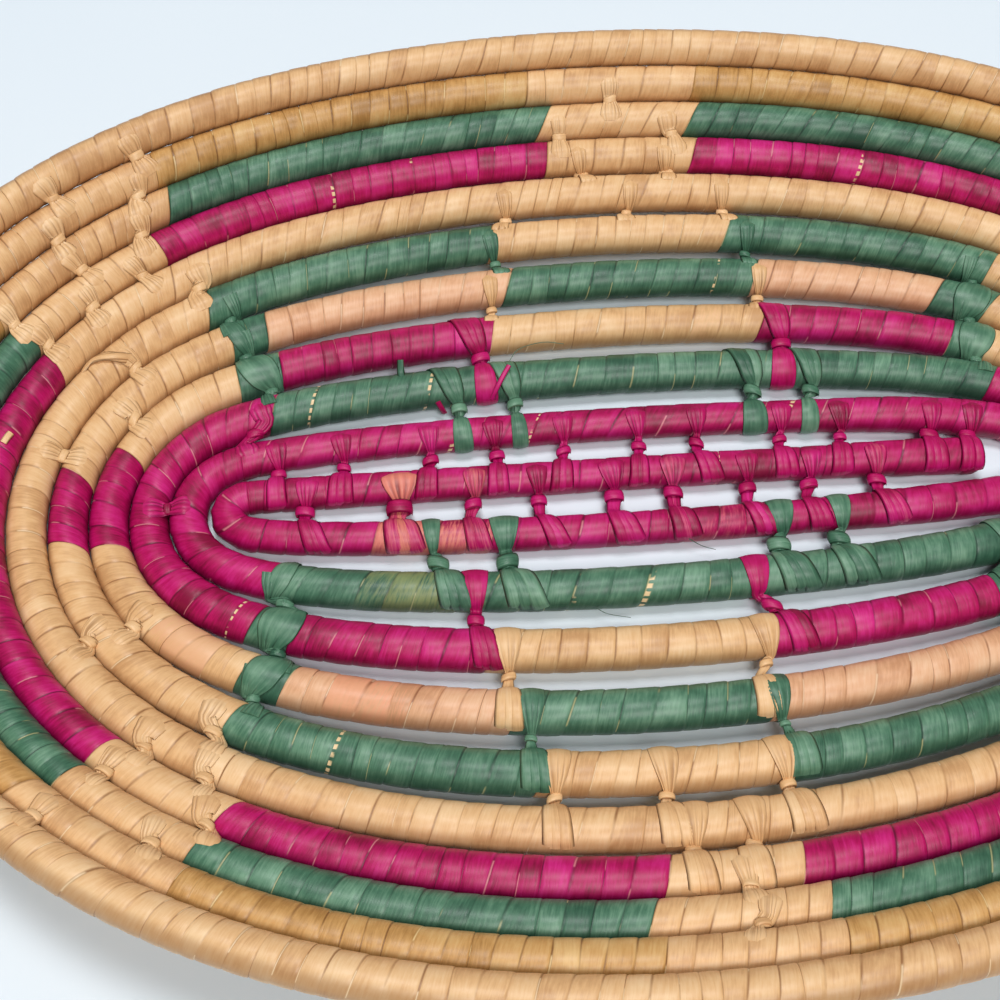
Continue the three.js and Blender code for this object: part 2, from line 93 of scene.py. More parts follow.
DYES = (
    Dye(Leaf.MAGENTA, deep=(0.23, 0.001, 0.038), body=(0.46, 0.001, 0.10), bright=(0.66, 0.018, 0.22),
        faded=(0.80, 0.27, 0.17), seam_and_shade=(0.08, 0.001, 0.015), pale=(0.72, 0.22, 0.26), roughness=0.42),
    Dye(Leaf.GREEN, deep=(0.029, 0.095, 0.056), body=(0.068, 0.18, 0.108), bright=(0.18, 0.345, 0.225),
        faded=(0.27, 0.30, 0.11), seam_and_shade=(0.012, 0.036, 0.024), pale=(0.42, 0.42, 0.20)),
    Dye(Leaf.NATURAL, deep=(0.60, 0.33, 0.145), body=(0.78, 0.475, 0.225), bright=(0.88, 0.60, 0.33),
        faded=(0.78, 0.39, 0.22), seam_and_shade=(0.27, 0.11, 0.036), pale=(0.86, 0.64, 0.38)),
    Dye(Leaf.PEACH, deep=(0.62, 0.31, 0.16), body=(0.78, 0.43, 0.24), bright=(0.87, 0.56, 0.35),
        faded=(0.82, 0.33, 0.18), seam_and_shade=(0.25, 0.085, 0.032), pale=(0.86, 0.60, 0.38)),
    Dye(Leaf.MUSTARD, deep=(0.40, 0.20, 0.055), body=(0.60, 0.33, 0.11), bright=(0.74, 0.48, 0.20),
        faded=(0.82, 0.60, 0.28), seam_and_shade=(0.16, 0.06, 0.014), pale=(0.82, 0.60, 0.28)),
)

# The colour chart from the middle to the rim: the CAD node, its dye, and the turn and place where it stops
CHART = (
    ("middle_wrap", Leaf.MAGENTA, 1, 21.1),
    ("lower_green_row", Leaf.GREEN, 1, 26.9),
    ("right_end_magenta", Leaf.MAGENTA, 2, 4.9),
    ("upper_green_row", Leaf.GREEN, 2, 10.95),
    ("left_end_magenta", Leaf.MAGENTA, 2, 20.66),
    ("lower_left_green_chain", Leaf.GREEN, 2, 21.05),
    ("row_2_lower_left_magenta", Leaf.MAGENTA, 2, 22.72),
    ("row_2_lower_natural_block", Leaf.NATURAL, 2, 24.85),
    ("row_2_lower_right_magenta", Leaf.MAGENTA, 2, 26.95),
    ("lower_right_green_chain", Leaf.GREEN, 2, 27.34),
    ("right_end_lower_natural", Leaf.NATURAL, 2, 30.8),
    ("right_end_magenta", Leaf.MAGENTA, 3, 1.2),
    ("right_end_upper_natural", Leaf.NATURAL, 3, 4.58),
    ("upper_right_green_chain", Leaf.GREEN, 3, 4.95),
    ("row_3_upper_right_magenta", Leaf.MAGENTA, 3, 6.65),
    ("row_3_upper_natural_block", Leaf.NATURAL, 3, 9),
    ("row_3_upper_left_magenta", Leaf.MAGENTA, 3, 11.05),
    ("upper_left_green_chain", Leaf.GREEN, 3, 11.45),
    ("left_end_upper_natural", Leaf.NATURAL, 3, 14.4),
    ("left_end_magenta", Leaf.MAGENTA, 3, 17.05),
    ("left_end_lower_natural", Leaf.NATURAL, 3, 20.4),
    ("lower_left_green_chain", Leaf.GREEN, 3, 20.8),
    ("row_3_lower_left_peach", Leaf.PEACH, 3, 22.7),
    ("row_3_lower_green_block", Leaf.GREEN, 3, 24.9),
    ("row_3_lower_right_peach", Leaf.PEACH, 3, 27.2),
    ("lower_right_green_chain", Leaf.GREEN, 3, 27.6),
    ("right_end_lower_natural", Leaf.NATURAL, 3, 31.1),
    ("right_end_magenta", Leaf.MAGENTA, 4, 0.9),
    ("right_end_upper_natural", Leaf.NATURAL, 4, 4.25),
    ("upper_right_green_chain", Leaf.GREEN, 4, 4.7),
    ("row_4_upper_right_peach", Leaf.PEACH, 4, 6.55),
    ("row_4_upper_green_block", Leaf.GREEN, 4, 9),
    ("row_4_upper_left_peach", Leaf.PEACH, 4, 11.3),
    ("upper_left_green_chain", Leaf.GREEN, 4, 11.62),
    ("left_end_upper_natural", Leaf.NATURAL, 4, 14.9),
    ("left_end_magenta", Leaf.MAGENTA, 4, 16.55),
    ("left_end_lower_natural", Leaf.NATURAL, 4, 20.25),
    ("lower_left_green_chain", Leaf.GREEN, 4, 22.7),
    ("row_4_lower_natural_block", Leaf.NATURAL, 4, 25.05),
    ("lower_right_green_chain", Leaf.GREEN, 4, 27.75),
    ("row_5_right_end_natural", Leaf.NATURAL, 5, 4.15),
    ("upper_right_green_chain", Leaf.GREEN, 5, 6.55),
    ("row_5_upper_natural_block", Leaf.NATURAL, 5, 9),
    ("upper_left_green_chain", Leaf.GREEN, 5, 11.7),
    ("row_5_left_end_natural", Leaf.NATURAL, 5, 20.2),
    ("row_5_lower_natural", Leaf.NATURAL, 5, 28.7),
    ("row_6_right_end_magenta", Leaf.MAGENTA, 6, 2.3),
    ("row_6_upper_natural", Leaf.NATURAL, 6, 13.7),
    ("row_6_left_end_magenta", Leaf.MAGENTA, 6, 19.3),
    ("lower_left_natural_corner", Leaf.NATURAL, 6, 20.35),
    ("row_6_lower_left_magenta", Leaf.MAGENTA, 6, 23.6),
    ("lower_natural_crown", Leaf.NATURAL, 6, 24.95),
    ("row_6_lower_right_magenta", Leaf.MAGENTA, 6, 27.65),
    ("lower_right_natural_corner", Leaf.NATURAL, 6, 28.8),
    ("row_7_right_end_green", Leaf.GREEN, 7, 2.25),
    ("upper_right_natural_corner", Leaf.NATURAL, 7, 4),
    ("row_7_upper_right_magenta", Leaf.MAGENTA, 7, 6.9),
    ("upper_natural_crown", Leaf.NATURAL, 7, 8.4),
    ("row_7_upper_left_magenta", Leaf.MAGENTA, 7, 12),
    ("upper_left_natural_corner", Leaf.NATURAL, 7, 13.75),
    ("row_7_left_end_green", Leaf.GREEN, 7, 19.2),
    ("lower_left_natural_corner", Leaf.NATURAL, 7, 20.2),
    ("row_7_lower_left_green", Leaf.GREEN, 7, 23.5),
    ("lower_natural_crown", Leaf.NATURAL, 7, 24.9),
    ("row_7_lower_right_green", Leaf.GREEN, 7, 27.7),
    ("lower_right_natural_corner", Leaf.NATURAL, 7, 28.8),
    ("row_8_right_end_mustard", Leaf.MUSTARD, 8, 2.2),
    ("upper_right_natural_corner", Leaf.NATURAL, 8, 4),
    ("row_8_upper_right_green", Leaf.GREEN, 8, 6.8),
    ("upper_natural_crown", Leaf.NATURAL, 8, 8.5),
    ("row_8_upper_left_green", Leaf.GREEN, 8, 11.9),
    ("upper_left_natural_corner", Leaf.NATURAL, 8, 13.8),
    ("row_8_left_end_mustard", Leaf.MUSTARD, 8, 19.2),
    ("lower_left_natural_corner", Leaf.NATURAL, 8, 20.2),
    ("row_8_lower_left_mustard", Leaf.MUSTARD, 8, 23.4),
    ("lower_natural_crown", Leaf.NATURAL, 8, 25),
    ("row_8_lower_right_mustard", Leaf.MUSTARD, 8, 27.8),
    ("row_9_right_end_natural", Leaf.NATURAL, 9, 4.1),
    ("row_9_upper_right_mustard", Leaf.MUSTARD, 9, 6.8),
    ("upper_natural_crown", Leaf.NATURAL, 9, 8.5),
    ("row_9_upper_left_mustard", Leaf.MUSTARD, 9, 11.85),
    ("row_9_left_and_lower_natural", Leaf.NATURAL, 9, 28),
    ("rim_right_end_wrap", Leaf.NATURAL, 10, 4),
    ("rim_upper_and_tail_wrap", Leaf.NATURAL, 10, 17.5),
)


class Sewn(Enum):
    """Which row of an open stitch the leaf fans out over, as seen from the middle of the tray."""

    OUTWARDS = "fan on the inner row"
    INWARDS = "fan on the outer row"
    MIDDLE = "short fan on the outer row"


# Open stitches: the inner row's turn, the kind, the knot's scale, and (inner place, outer place) of each
OPEN_STITCHES = (
    (0, Sewn.MIDDLE, 0.9, ((5.86, 5.42), (6.2, 5.87))),
    (0, Sewn.MIDDLE, 0.75, ((6.84, 6.6), (7.2, 7.02), (7.65, 7.56), (7.95, 7.92))),
    (0, Sewn.MIDDLE, 0.75, ((8.35, 8.38), (8.7, 8.82), (9.1, 9.26), (9.7, 9.95), (10.35, 10.65))),
    (2, Sewn.OUTWARDS, 0.62, ((22.84, 22.60), (24.78, 24.77))),
    (3, Sewn.OUTWARDS, 0.55, ((22.80, 22.60), (24.86, 25.03))),
    (4, Sewn.OUTWARDS, 0.7, ((22.82, 22.67), (23.80, 23.72), (24.85, 24.92))),
    (5, Sewn.OUTWARDS, 0.7, ((23.92, 23.86), (24.48, 24.40))),
    (3, Sewn.INWARDS, 0.62, ((6.73, 6.50), (8.96, 9.08))),
    (4, Sewn.INWARDS, 0.65, ((6.62, 6.44), (8.96, 9.08))),
    (5, Sewn.INWARDS, 0.6, ((6.66, 6.58), (7.69, 7.60), (8.90, 8.94))),
    (6, Sewn.INWARDS, 0.85, ((7.14, 7.15), (8.06, 8.07))),
)
# Stitches between the halves of the middle turn: places on its upper and lower row, fading, the fan's half width
MIDDLE_STITCHES = (
    ((10.05, 21.8), 0.0, 2.6), ((9.3, 22.55), 0.95, 4.2), ((8.85, 23.02), 0.6, 2.6), ((8.5, 23.43), 0.0, 2.4),
    ((8.1, 23.85), 0.0, 3.0), ((7.8, 24.2), 0.25, 3.0), ((7.4, 24.62), 0.0, 2.6), ((7.05, 24.99), 0.0, 2.4),
    ((6.65, 25.5), 0.4, 2.6),
)
# Straps right over the row inside theirs: that row's turn, the knot's scale, and the lap's place, the knot's place
# and the half width of each
STRAPS = (
    (1, 1.0, ((9.03, 9.19, 2.3), (8.66, 8.76, 1.9), (7.19, 7.0, 3.0), (6.82, 6.53, 2.1))),
    (2, 1.0, ((8.97, 9.12, 2.7), (6.77, 6.52, 3.0))),
    (0, 1.15, ((22.79, 22.59, 2.1), (23.22, 23.07, 3.4), (24.8, 24.88, 3.1), (25.18, 25.33, 2.5))),
    (1, 0.9, ((22.83, 22.58, 3.0), (24.68, 24.97, 3.0))),
)
# Knots of the green chains at the four diagonals: the inner row's turn, and inner place, outer place, node and
# scale of each
CHAIN_KNOTS = (
    (1, ((21.12, 20.98, "lower_left_green_chain", 1.0), (26.95, 27.05, "lower_right_green_chain", 1.0))),
    (2, ((10.95, 11.13, "upper_left_green_chain", 0.8), (4.85, 4.68, "upper_right_green_chain", 0.8),
         (20.82, 20.7, "lower_left_green_chain", 0.9), (27.2, 27.3, "lower_right_green_chain", 0.9))),
    (3, ((11.35, 11.47, "upper_left_green_chain", 0.8), (4.62, 4.55, "upper_right_green_chain", 0.8),
         (20.5, 20.38, "lower_left_green_chain", 0.9), (27.5, 27.6, "lower_right_green_chain", 0.9))),
    (4, ((11.58, 11.6, "upper_left_green_chain", 0.8), (4.43, 4.38, "upper_right_green_chain", 0.7))),
)
# The chains' straps: node, the row's turn, the place at its inner and at its outer side, half width
CHAIN_LINKS = (
    ("lower_left_green_chain", 1, 21.35, 21.12, 2.4), ("lower_left_green_chain", 2, 20.98, 20.82, 4.6),
    ("lower_left_green_chain", 3, 20.7, 20.5, 3.9), ("lower_right_green_chain", 1, 26.75, 26.95, 2.4),
    ("lower_right_green_chain", 2, 27.05, 27.2, 4.5), ("lower_right_green_chain", 3, 27.3, 27.5, 3.9),
    ("upper_left_green_chain", 3, 11.13, 11.35, 4.2), ("upper_left_green_chain", 4, 11.47, 11.58, 2.2),
    ("upper_right_green_chain", 3, 4.68, 4.62, 4.3), ("upper_right_green_chain", 4, 4.55, 4.43, 4.3),
)
# Knots in the grooves between rows that lie side by side: the inner row's turn and the places
PADS = (
    (1, (11.05, 15.78, 31.4)),
    (2, (29.4, 31.4)),
    (3, (1.4, 3, 13.43, 18.75, 30.2)),
    (4, (2, 12.87, 14.84, 18.4, 20.1)),
    (5, (2.7, 11.84, 19.6, 20.1, 28.4)),
    (6, (2.6, 3.4, 12.29, 12.89, 13.56, 19.45, 20.2, 24.3, 28.2)),
    (7, (3.2, 3.9, 7.06, 8.28, 12.14, 12.75, 13.65, 19.98, 24.3, 28.1)),
    (8, (3.3, 7.7, 12.03, 12.77, 19.35, 28.2)),
    (9, (3.4, 4.1, 11.93, 12.61, 20.1, 28.6)),
)
# Loose ends of leaf: node, half width, shade, and (turn, place, degrees from the inner side, lift) along each
TRIMMINGS = (
    ("row_3_upper_left_magenta", 0.6, 0.12,
     ((2, 8.78, 95, 1.6), (2, 8.84, 70, 1.3), (2, 8.9, 40, 0.9), (2, 8.93, 14, 0.6))),
    ("upper_green_row", 0.16, 0.1,
     ((2, 8.76, 150, 0.3), (2, 8.68, 150, 3.0), (2, 8.5, 150, 4.2), (2, 8.35, 150, 3.4))),
    ("upper_green_row", 0.9, -0.15, ((2, 9.62, 115, -0.2), (2, 9.62, 130, 0.9), (2, 9.61, 135, 3.4))),
    ("row_3_upper_left_magenta", 0.7, -0.1, ((2, 9.36, 22, 0.2), (2, 9.33, 0, 0.9), (2, 9.31, -20, 1.3))),
    ("lower_green_row", 0.12, -0.25, ((0, 24.25, 165, 0.3), (0, 24.32, 180, 1.6), (0, 24.4, 190, 2.4))),
    ("lower_green_row", 0.12, -0.25, ((1, 23.62, 175, 0.3), (1, 23.7, 185, 1.5), (1, 23.84, 190, 2.4))),
    ("row_6_upper_natural", 0.8, 0.25, ((6, 14.88, 84, 0.3), (6, 14.96, 88, 0.45), (6, 15.06, 92, 0.3))),
    ("row_6_upper_natural", 0.8, 0.22, ((6, 14.98, 118, 0.3), (6, 15.06, 120, 0.45), (6, 15.2, 123, 0.3))),
    ("row_5_left_end_natural", 1.3, 0.02,
     ((5, 13.46, 150, -0.2), (5, 13.3, 138, 0.5), (5, 13.14, 112, 0.7), (5, 13.02, 84, 0.6), (5, 12.9, 62, 0.1))),
    ("row_5_left_end_natural", 0.9, -0.08,
     ((5, 13.44, 140, -0.1), (5, 13.26, 128, 0.9), (5, 13.06, 92, 1.1), (5, 12.88, 64, 0.2))),
)
# Seams that show dashes of undyed leaf: turn and place
DASHED_SEAMS = (
    (1, 9.12), (1, 8.52), (1, 6.95), (0, 7.53), (7, 9.82), (2, 10.4), (2, 20.3), (4, 20.88), (7, 4.93), (4, 6.95),
    (7, 10.9), (1, 23.6), (1, 24.05), (2, 9.35),
)
# Stretches whose dye has turned: turn, place, half length in places, how much
FADED = (
    (0, 22.61, 0.16, 0.9), (0, 22.99, 0.15, 0.75), (0, 24.41, 0.2, 0.35), (1, 22.44, 0.35, 0.8),
    (3, 19.6, 0.45, 0.7), (3, 21.4, 0.36, 0.7), (3, 7.15, 0.14, 0.45),
)
# Stretches of a lighter or darker shade, in the same way
SHADED = (
    (5, 20.23, 0.1, 0.2), (10, 13.5, 2.0, -0.10), (9, 13.2, 1.6, -0.10), (8, 13.2, 1.4, -0.08),
    (9, 20.5, 1.2, 0.08), (2, 18.0, 2.5, -0.05),
)
# Where such a stretch has ended, in half lengths; it starts to die away one half length before
STRETCH_EDGE = 1.6
# How the seams change from turn to turn: the noise's scale and limits, and the least strength
SEAM_SCALE, SEAM_LIMITS, SEAM_LEAST = 1.7, (0.38, 0.62), 0.3
# Sheets of leaf over a row, as degrees from the knot, share of the half width, lift and depth of the pleats
Profile = tuple[tuple[float, float, float, float], ...]
LONG_FAN: Profile = (
    (168, 0.80, -0.25, 0.02), (140, 0.97, 0.16, 0.03), (100, 1.0, 0.2, 0.06), (62, 0.80, 0.26, 0.16),
    (30, 0.50, 0.4, 0.30), (8, 0.34, 0.55, 0.30),
)
CREST_FAN: Profile = (
    (118, 0.84, -0.25, 0.02), (94, 1.0, 0.2, 0.05), (62, 0.86, 0.26, 0.16), (32, 0.56, 0.4, 0.28),
    (8, 0.36, 0.55, 0.28),
)
SHORT_FAN: Profile = (
    (112, 0.86, -0.25, 0.03), (88, 1.0, 0.18, 0.07), (56, 0.84, 0.26, 0.16), (28, 0.52, 0.4, 0.28),
    (8, 0.36, 0.55, 0.28),
)
LAP: Profile = (
    (8, 0.42, 0.5, 0.2), (34, 0.58, 0.3, 0.12), (65, 0.78, 0.24, 0.05), (100, 0.94, 0.22, 0.02),
    (140, 1.0, 0.2, 0.0), (180, 0.97, 0.2, 0.0), (225, 0.8, 0.15, 0.0), (262, 0.6, -0.3, 0.0),
)
PAD: Profile = ((102, 0.86, -0.22, 0.05), (84, 1.0, 0.06, 0.10), (64, 0.9, 0.16, 0.15), (46, 0.74, 0.34, 0.2))
LINK: Profile = (
    (-40, 0.3, -0.3, 0.0), (-5, 0.36, 0.3, 0.25), (28, 0.6, 0.3, 0.16), (58, 0.9, 0.27, 0.05),
    (90, 1.0, 0.25, 0.02), (122, 0.9, 0.27, 0.05), (152, 0.6, 0.3, 0.16), (185, 0.36, 0.3, 0.25),
    (220, 0.3, -0.3, 0.0),
)
UNDERSIDE: Profile = ((-12, 1.1, 0.4, 0.0), (-36, 1.5, 0.18, 0.0), (-64, 1.5, -0.3, 0.0))
# A foot's last number is the share of its place in the splay, and its degrees are stretched to the foot's own reach
FOOT: Profile = (
    (16, 0.66, 0.42, 0.4), (42, 0.84, 0.26, 0.8), (78, 0.96, 0.18, 1.05), (118, 1.05, 0.15, 1.15),
    (150, 1.1, 0.12, 1.2), (174, 1.1, -0.25, 1.25),
)
FOOT_REACH = FOOT[-1][0]


@dataclass(frozen=True)
class Sewing:
    """How one kind of open stitch is drawn: the knot's rise and place in the gap, the fan, and the feet's reach."""

    rise: float
    share: float
    fan: Profile
    half: float
    reach: float


SEWING = {
    Sewn.OUTWARDS: Sewing(rise=0.14, share=0.35, fan=LONG_FAN, half=2.9, reach=170),
    Sewn.INWARDS: Sewing(rise=0.14, share=0.4, fan=SHORT_FAN, half=1.9, reach=66),
    Sewn.MIDDLE: Sewing(rise=0.10, share=0.5, fan=SHORT_FAN, half=2.4, reach=172),
}


def smooth(x: np.ndarray) -> np.ndarray:
    """Smoothstep from 0 to 1."""
    x = np.clip(x, 0, 1)
    return x * x * (3 - 2 * x)


def unit(v: np.ndarray) -> np.ndarray:
    """Vectors at length one."""
    return v / np.maximum(np.linalg.norm(v, axis=-1, keepdims=True), 1e-12)


@dataclass(frozen=True)
class Coil:
    """The bundle's path and thickness, by the sizes that the CAD part is driven by."""

    spine_half: float = 88.5
    axis_shift: float = -3.2
    middle_diameter: float = 8.0
    full_diameter: float = 9.8
    end_pitch: float = 8.8
    leaf_gap: float = 0.12
    flat_rows: float = 2.0
    rim_turn: float = 10.5
    rim_slope: float = math.radians(42)
    open_upper: float = 5.3
    open_lower: float = 6.5
    open_rim: float = 0.75
    fade_turn: float = 5.8
    fade_span: float = 5.0
    growth_wave: float = 0.4
    middle_turns: tuple[float, float] = (1.2, 2.0)
    start_swell: float = 1.0
    start_reach: tuple[float, float] = (35.0, 70.0)
    base_cut: float = 0.1
    end_steps: int = 5
    end_angle: float = math.radians(15)
    half_turn: int = 16
    turn: int = 32
    first: float = 5.72
    last: float = 337.5
    tail: float = 3.0
    tail_share: float = 0.6
    crown: float = ROW_TOP
    tip: float = 3.0
    tip_share: float = 0.25
    step: float = 0.02
    ladder_step: float = 0.01
    ladder_top: int = 12
    least_opening: float = 1e-3
    rounds: int = 4

    @cached_property
    def ladder(self) -> dict[str, np.ndarray]:
        """Reach, rise and openings of the rows, summed level by level from the middle."""
        level = np.arange(round(self.ladder_top / self.ladder_step) + 1) * self.ladder_step
        slope = self.slope(level)
        step = np.where(level > 0, self.end_pitch * self.ladder_step, 0)
        fade = smooth((level - self.fade_turn + self.fade_span / 2) / self.fade_span)
        table = {"level": level, "reach": np.cumsum(step * np.cos(slope)), "rise": np.cumsum(step * np.sin(slope))}
        for side, first in (("upper", self.open_upper), ("lower", self.open_lower)):
            opening = np.where(level > 0, first + (self.open_rim - first) * fade, 0)
            table[side] = np.cumsum(opening) * self.ladder_step
        return table

    def slope(self, level: np.ndarray) -> np.ndarray:
        """The wall's slope at a level, in radians."""
        return self.rim_slope * np.maximum(0, (level - self.flat_rows) / (self.rim_turn - self.flat_rows))

    def climb(self, level: np.ndarray, key: str) -> np.ndarray:
        """One column of the ladder at some levels."""
        return np.interp(level, self.ladder["level"], self.ladder[key])

    def bearing(self, place: np.ndarray, opening: np.ndarray) -> tuple[np.ndarray, np.ndarray]:
        """Where on the ellipse between the rows some places of a turn lie.

        Args:
            place: Places of a turn, counted anticlockwise from the right-hand end.
            opening: The ellipse's short half axis at each, in mm.

        Returns:
            The ellipse parameter and the direction of the row's normal at each, in radians.
        """
        lower = place >= self.half_turn
        p = np.where(lower, place - self.half_turn, place)

        def on_ellipse(angle: np.ndarray) -> np.ndarray:
            """The parameter of the point in a direction."""
            return np.arctan2(opening * np.sin(angle), self.spine_half * np.cos(angle))

        sides = self.half_turn - 2 * self.end_steps
        corner = on_ellipse(self.end_angle * self.end_steps + 0 * p)
        along = corner + (math.pi - 2 * corner) * (p - self.end_steps) / sides
        start = self.end_angle * p
        stop = self.end_angle * (self.half_turn - p)
        first = p <= self.end_steps
        middle = p < self.end_steps + sides
        parameter = np.where(first, on_ellipse(start), np.where(middle, along, math.pi - on_ellipse(stop)))
        across = np.arctan2(self.spine_half * np.sin(along), opening * np.cos(along))
        angle = np.where(first, start, np.where(middle, across, math.pi - stop))
        half = np.where(lower, math.pi, 0)
        return parameter + half, angle + half

    def track(self, station: np.ndarray) -> tuple[np.ndarray, np.ndarray, np.ndarray]:
        """Where the coil lies on its own surface.

        Args:
            station: Stations along the coil, 32 to a turn.

        Returns:
            For each station its point in mm, the direction outwards, and the level in turns.
        """
        turn = np.floor(station / self.turn + 1e-9)
        place = station - turn * self.turn
        upper = place < self.half_turn
        level = turn + place / self.turn

        def opening() -> np.ndarray:
            """The short half axis at each place."""
            side = np.where(upper, self.climb(level, "upper"), self.climb(level, "lower"))
            return np.maximum(side, self.least_opening)

        for _ in range(self.rounds):
            parameter, angle = self.bearing(place, opening())
            level = turn + parameter / (2 * math.pi) + self.growth_wave * np.sin(2 * parameter) / (4 * math.pi)
        reach = self.climb(level, "reach")
        point = np.stack([
            self.spine_half * np.cos(parameter) + reach * np.cos(angle),
            opening() * np.sin(parameter) + reach * np.sin(angle) + self.axis_shift,
            self.climb(level, "rise"),
        ], -1)
        out = np.stack([np.cos(angle), np.sin(angle), 0 * angle], -1)
        return point, out, level

    @cached_property
    def table(self) -> dict[str, np.ndarray]:
        """Centre, axes, radius and length of the coil at closely spaced stations."""
        station = np.arange(self.first, self.last + self.step / 2, self.step)
        point, out, level = self.track(station)
        low, high = self.middle_turns
        begin, end = self.start_reach
        middle = self.middle_diameter + self.start_swell * smooth((point[:, 0] - begin) / (end - begin))
        free = middle + (self.full_diameter - middle) * smooth((level - low) / (high - low))
        room = np.linalg.norm(self.track(station + self.turn)[0] - point, axis=1)
        inner = station >= self.turn + self.first
        before = np.linalg.norm(self.track(np.maximum(station - self.turn, 0))[0] - point, axis=1)
        room = np.where(inner, np.minimum(room, before), room)
        radius = np.minimum(free, room - self.leaf_gap) / 2
        radius = radius * (self.tail_share + (1 - self.tail_share) * smooth((self.last - station) / self.tail))
        slope = self.slope(level)[:, None]
        up = np.array([0.0, 0.0, 1.0])
        across = out * np.cos(slope) + up * np.sin(slope)
        upright = up * np.cos(slope) - out * np.sin(slope)
        lift = radius[:, None] * ((1 - 2 * self.base_cut) * np.cos(slope) + np.sin(slope) / 2)
        centre = point + up * lift
        length = np.concatenate([[0], np.cumsum(np.linalg.norm(np.diff(centre, axis=0), axis=1))])
        ends = np.clip(np.minimum(length, length[-1] - length) / self.tip, 0, 1)
        radius = radius * (self.tip_share + (1 - self.tip_share) * np.sqrt(1 - (1 - ends) ** 2))
        return {"station": station, "length": length, "centre": centre, "across": across, "up": upright,
                "radius": radius}

    def length_at(self, station: float | np.ndarray) -> np.ndarray:
        """How far along the coil some stations are."""
        return np.interp(station, self.table["station"], self.table["length"])

    def frame(self, length: np.ndarray) -> tuple[np.ndarray, np.ndarray, np.ndarray, np.ndarray]:
        """The coil's sections.

        Args:
            length: Lengths along the coil, in mm.

        Returns:
            For each length the centre, the outward axis, the upward axis and the radius.
        """
        at = self.table["length"]

        def along(key: str) -> np.ndarray:
            """One of the table's vectors at each length."""
            return np.stack([np.interp(length, at, self.table[key][:, i]) for i in range(3)], -1)

        radius = np.interp(length, at, self.table["radius"])
        return along("centre"), unit(along("across")), unit(along("up")), radius

    def skin(self, length: np.ndarray, angle: np.ndarray) -> tuple[np.ndarray, np.ndarray]:
        """Points on the wrapped surface and their outward directions.

        Args:
            length: Distances along the coil.
            angle: Angles round it, from the underside towards the outside.

        Returns:
            The points and the unit normals.
        """
        centre, across, up, radius = self.frame(length)
        x, y = np.sin(angle), -np.cos(angle)
        height = np.where(y > 0, self.crown, 1 - 2 * self.base_cut)
        point = centre + across * (radius * x)[:, None] + up * (radius * y * height)[:, None]
        normal = unit(across * x[:, None] + up * (y / height)[:, None])
        return point, normal


@dataclass(frozen=True)
class Spot:
    """A section of the coil that a stitch is drawn over, facing the other row."""

    centre: np.ndarray
    facing: np.ndarray
    up: np.ndarray
    along: np.ndarray
    radius: float

    def at(self, degrees: float, offset: float, lift: float) -> tuple[np.ndarray, np.ndarray]:
        """A point near the wrap.

        Args:
            degrees: Angle from the facing side up over the row.
            offset: How far along the row, in mm.
            lift: Height over the wrap, in mm.

        Returns:
            The point and its outward direction.
        """
        angle = math.radians(degrees)
        height = ROW_TOP if math.sin(angle) > 0 else ROW_BASE
        normal = self.facing * math.cos(angle) + self.up * math.sin(angle)
        point = self.centre + self.along * offset
        point = point + self.facing * math.cos(angle) * (self.radius + lift)
        return point + self.up * math.sin(angle) * (self.radius * height + lift), normal


@dataclass
class Strip:
    """One strip of leaf along a path: its points, the way it faces, its half width and thickness along it."""

    points: np.ndarray
    normals: np.ndarray
    half_width: np.ndarray
    thickness: np.ndarray
    pleat: np.ndarray
    folds: float = 0.0
    fade: float = 0.0
    shade: float = 0.0


def curve_through(keys: np.ndarray, samples: int) -> np.ndarray:
    """A smooth curve through rows of numbers.

    Args:
        keys: The rows that it passes through.
        samples: Points in each span between two rows.

    Returns:
        The sampled rows, first and last key included.
    """
    padded = np.vstack([2 * keys[0] - keys[1], keys, 2 * keys[-1] - keys[-2]])
    rows = []
    for i in range(1, len(padded) - 2):
        p0, p1, p2, p3 = padded[i - 1:i + 3]
        t = np.linspace(0, 1, samples, endpoint=False)[:, None]
        rows.append(0.5 * (2 * p1 + (p2 - p0) * t + (2 * p0 - 5 * p1 + 4 * p2 - p3) * t ** 2
                           + (3 * p1 - p0 - 3 * p2 + p3) * t ** 3))
    rows.append(keys[-1:])
    return np.vstack(rows)


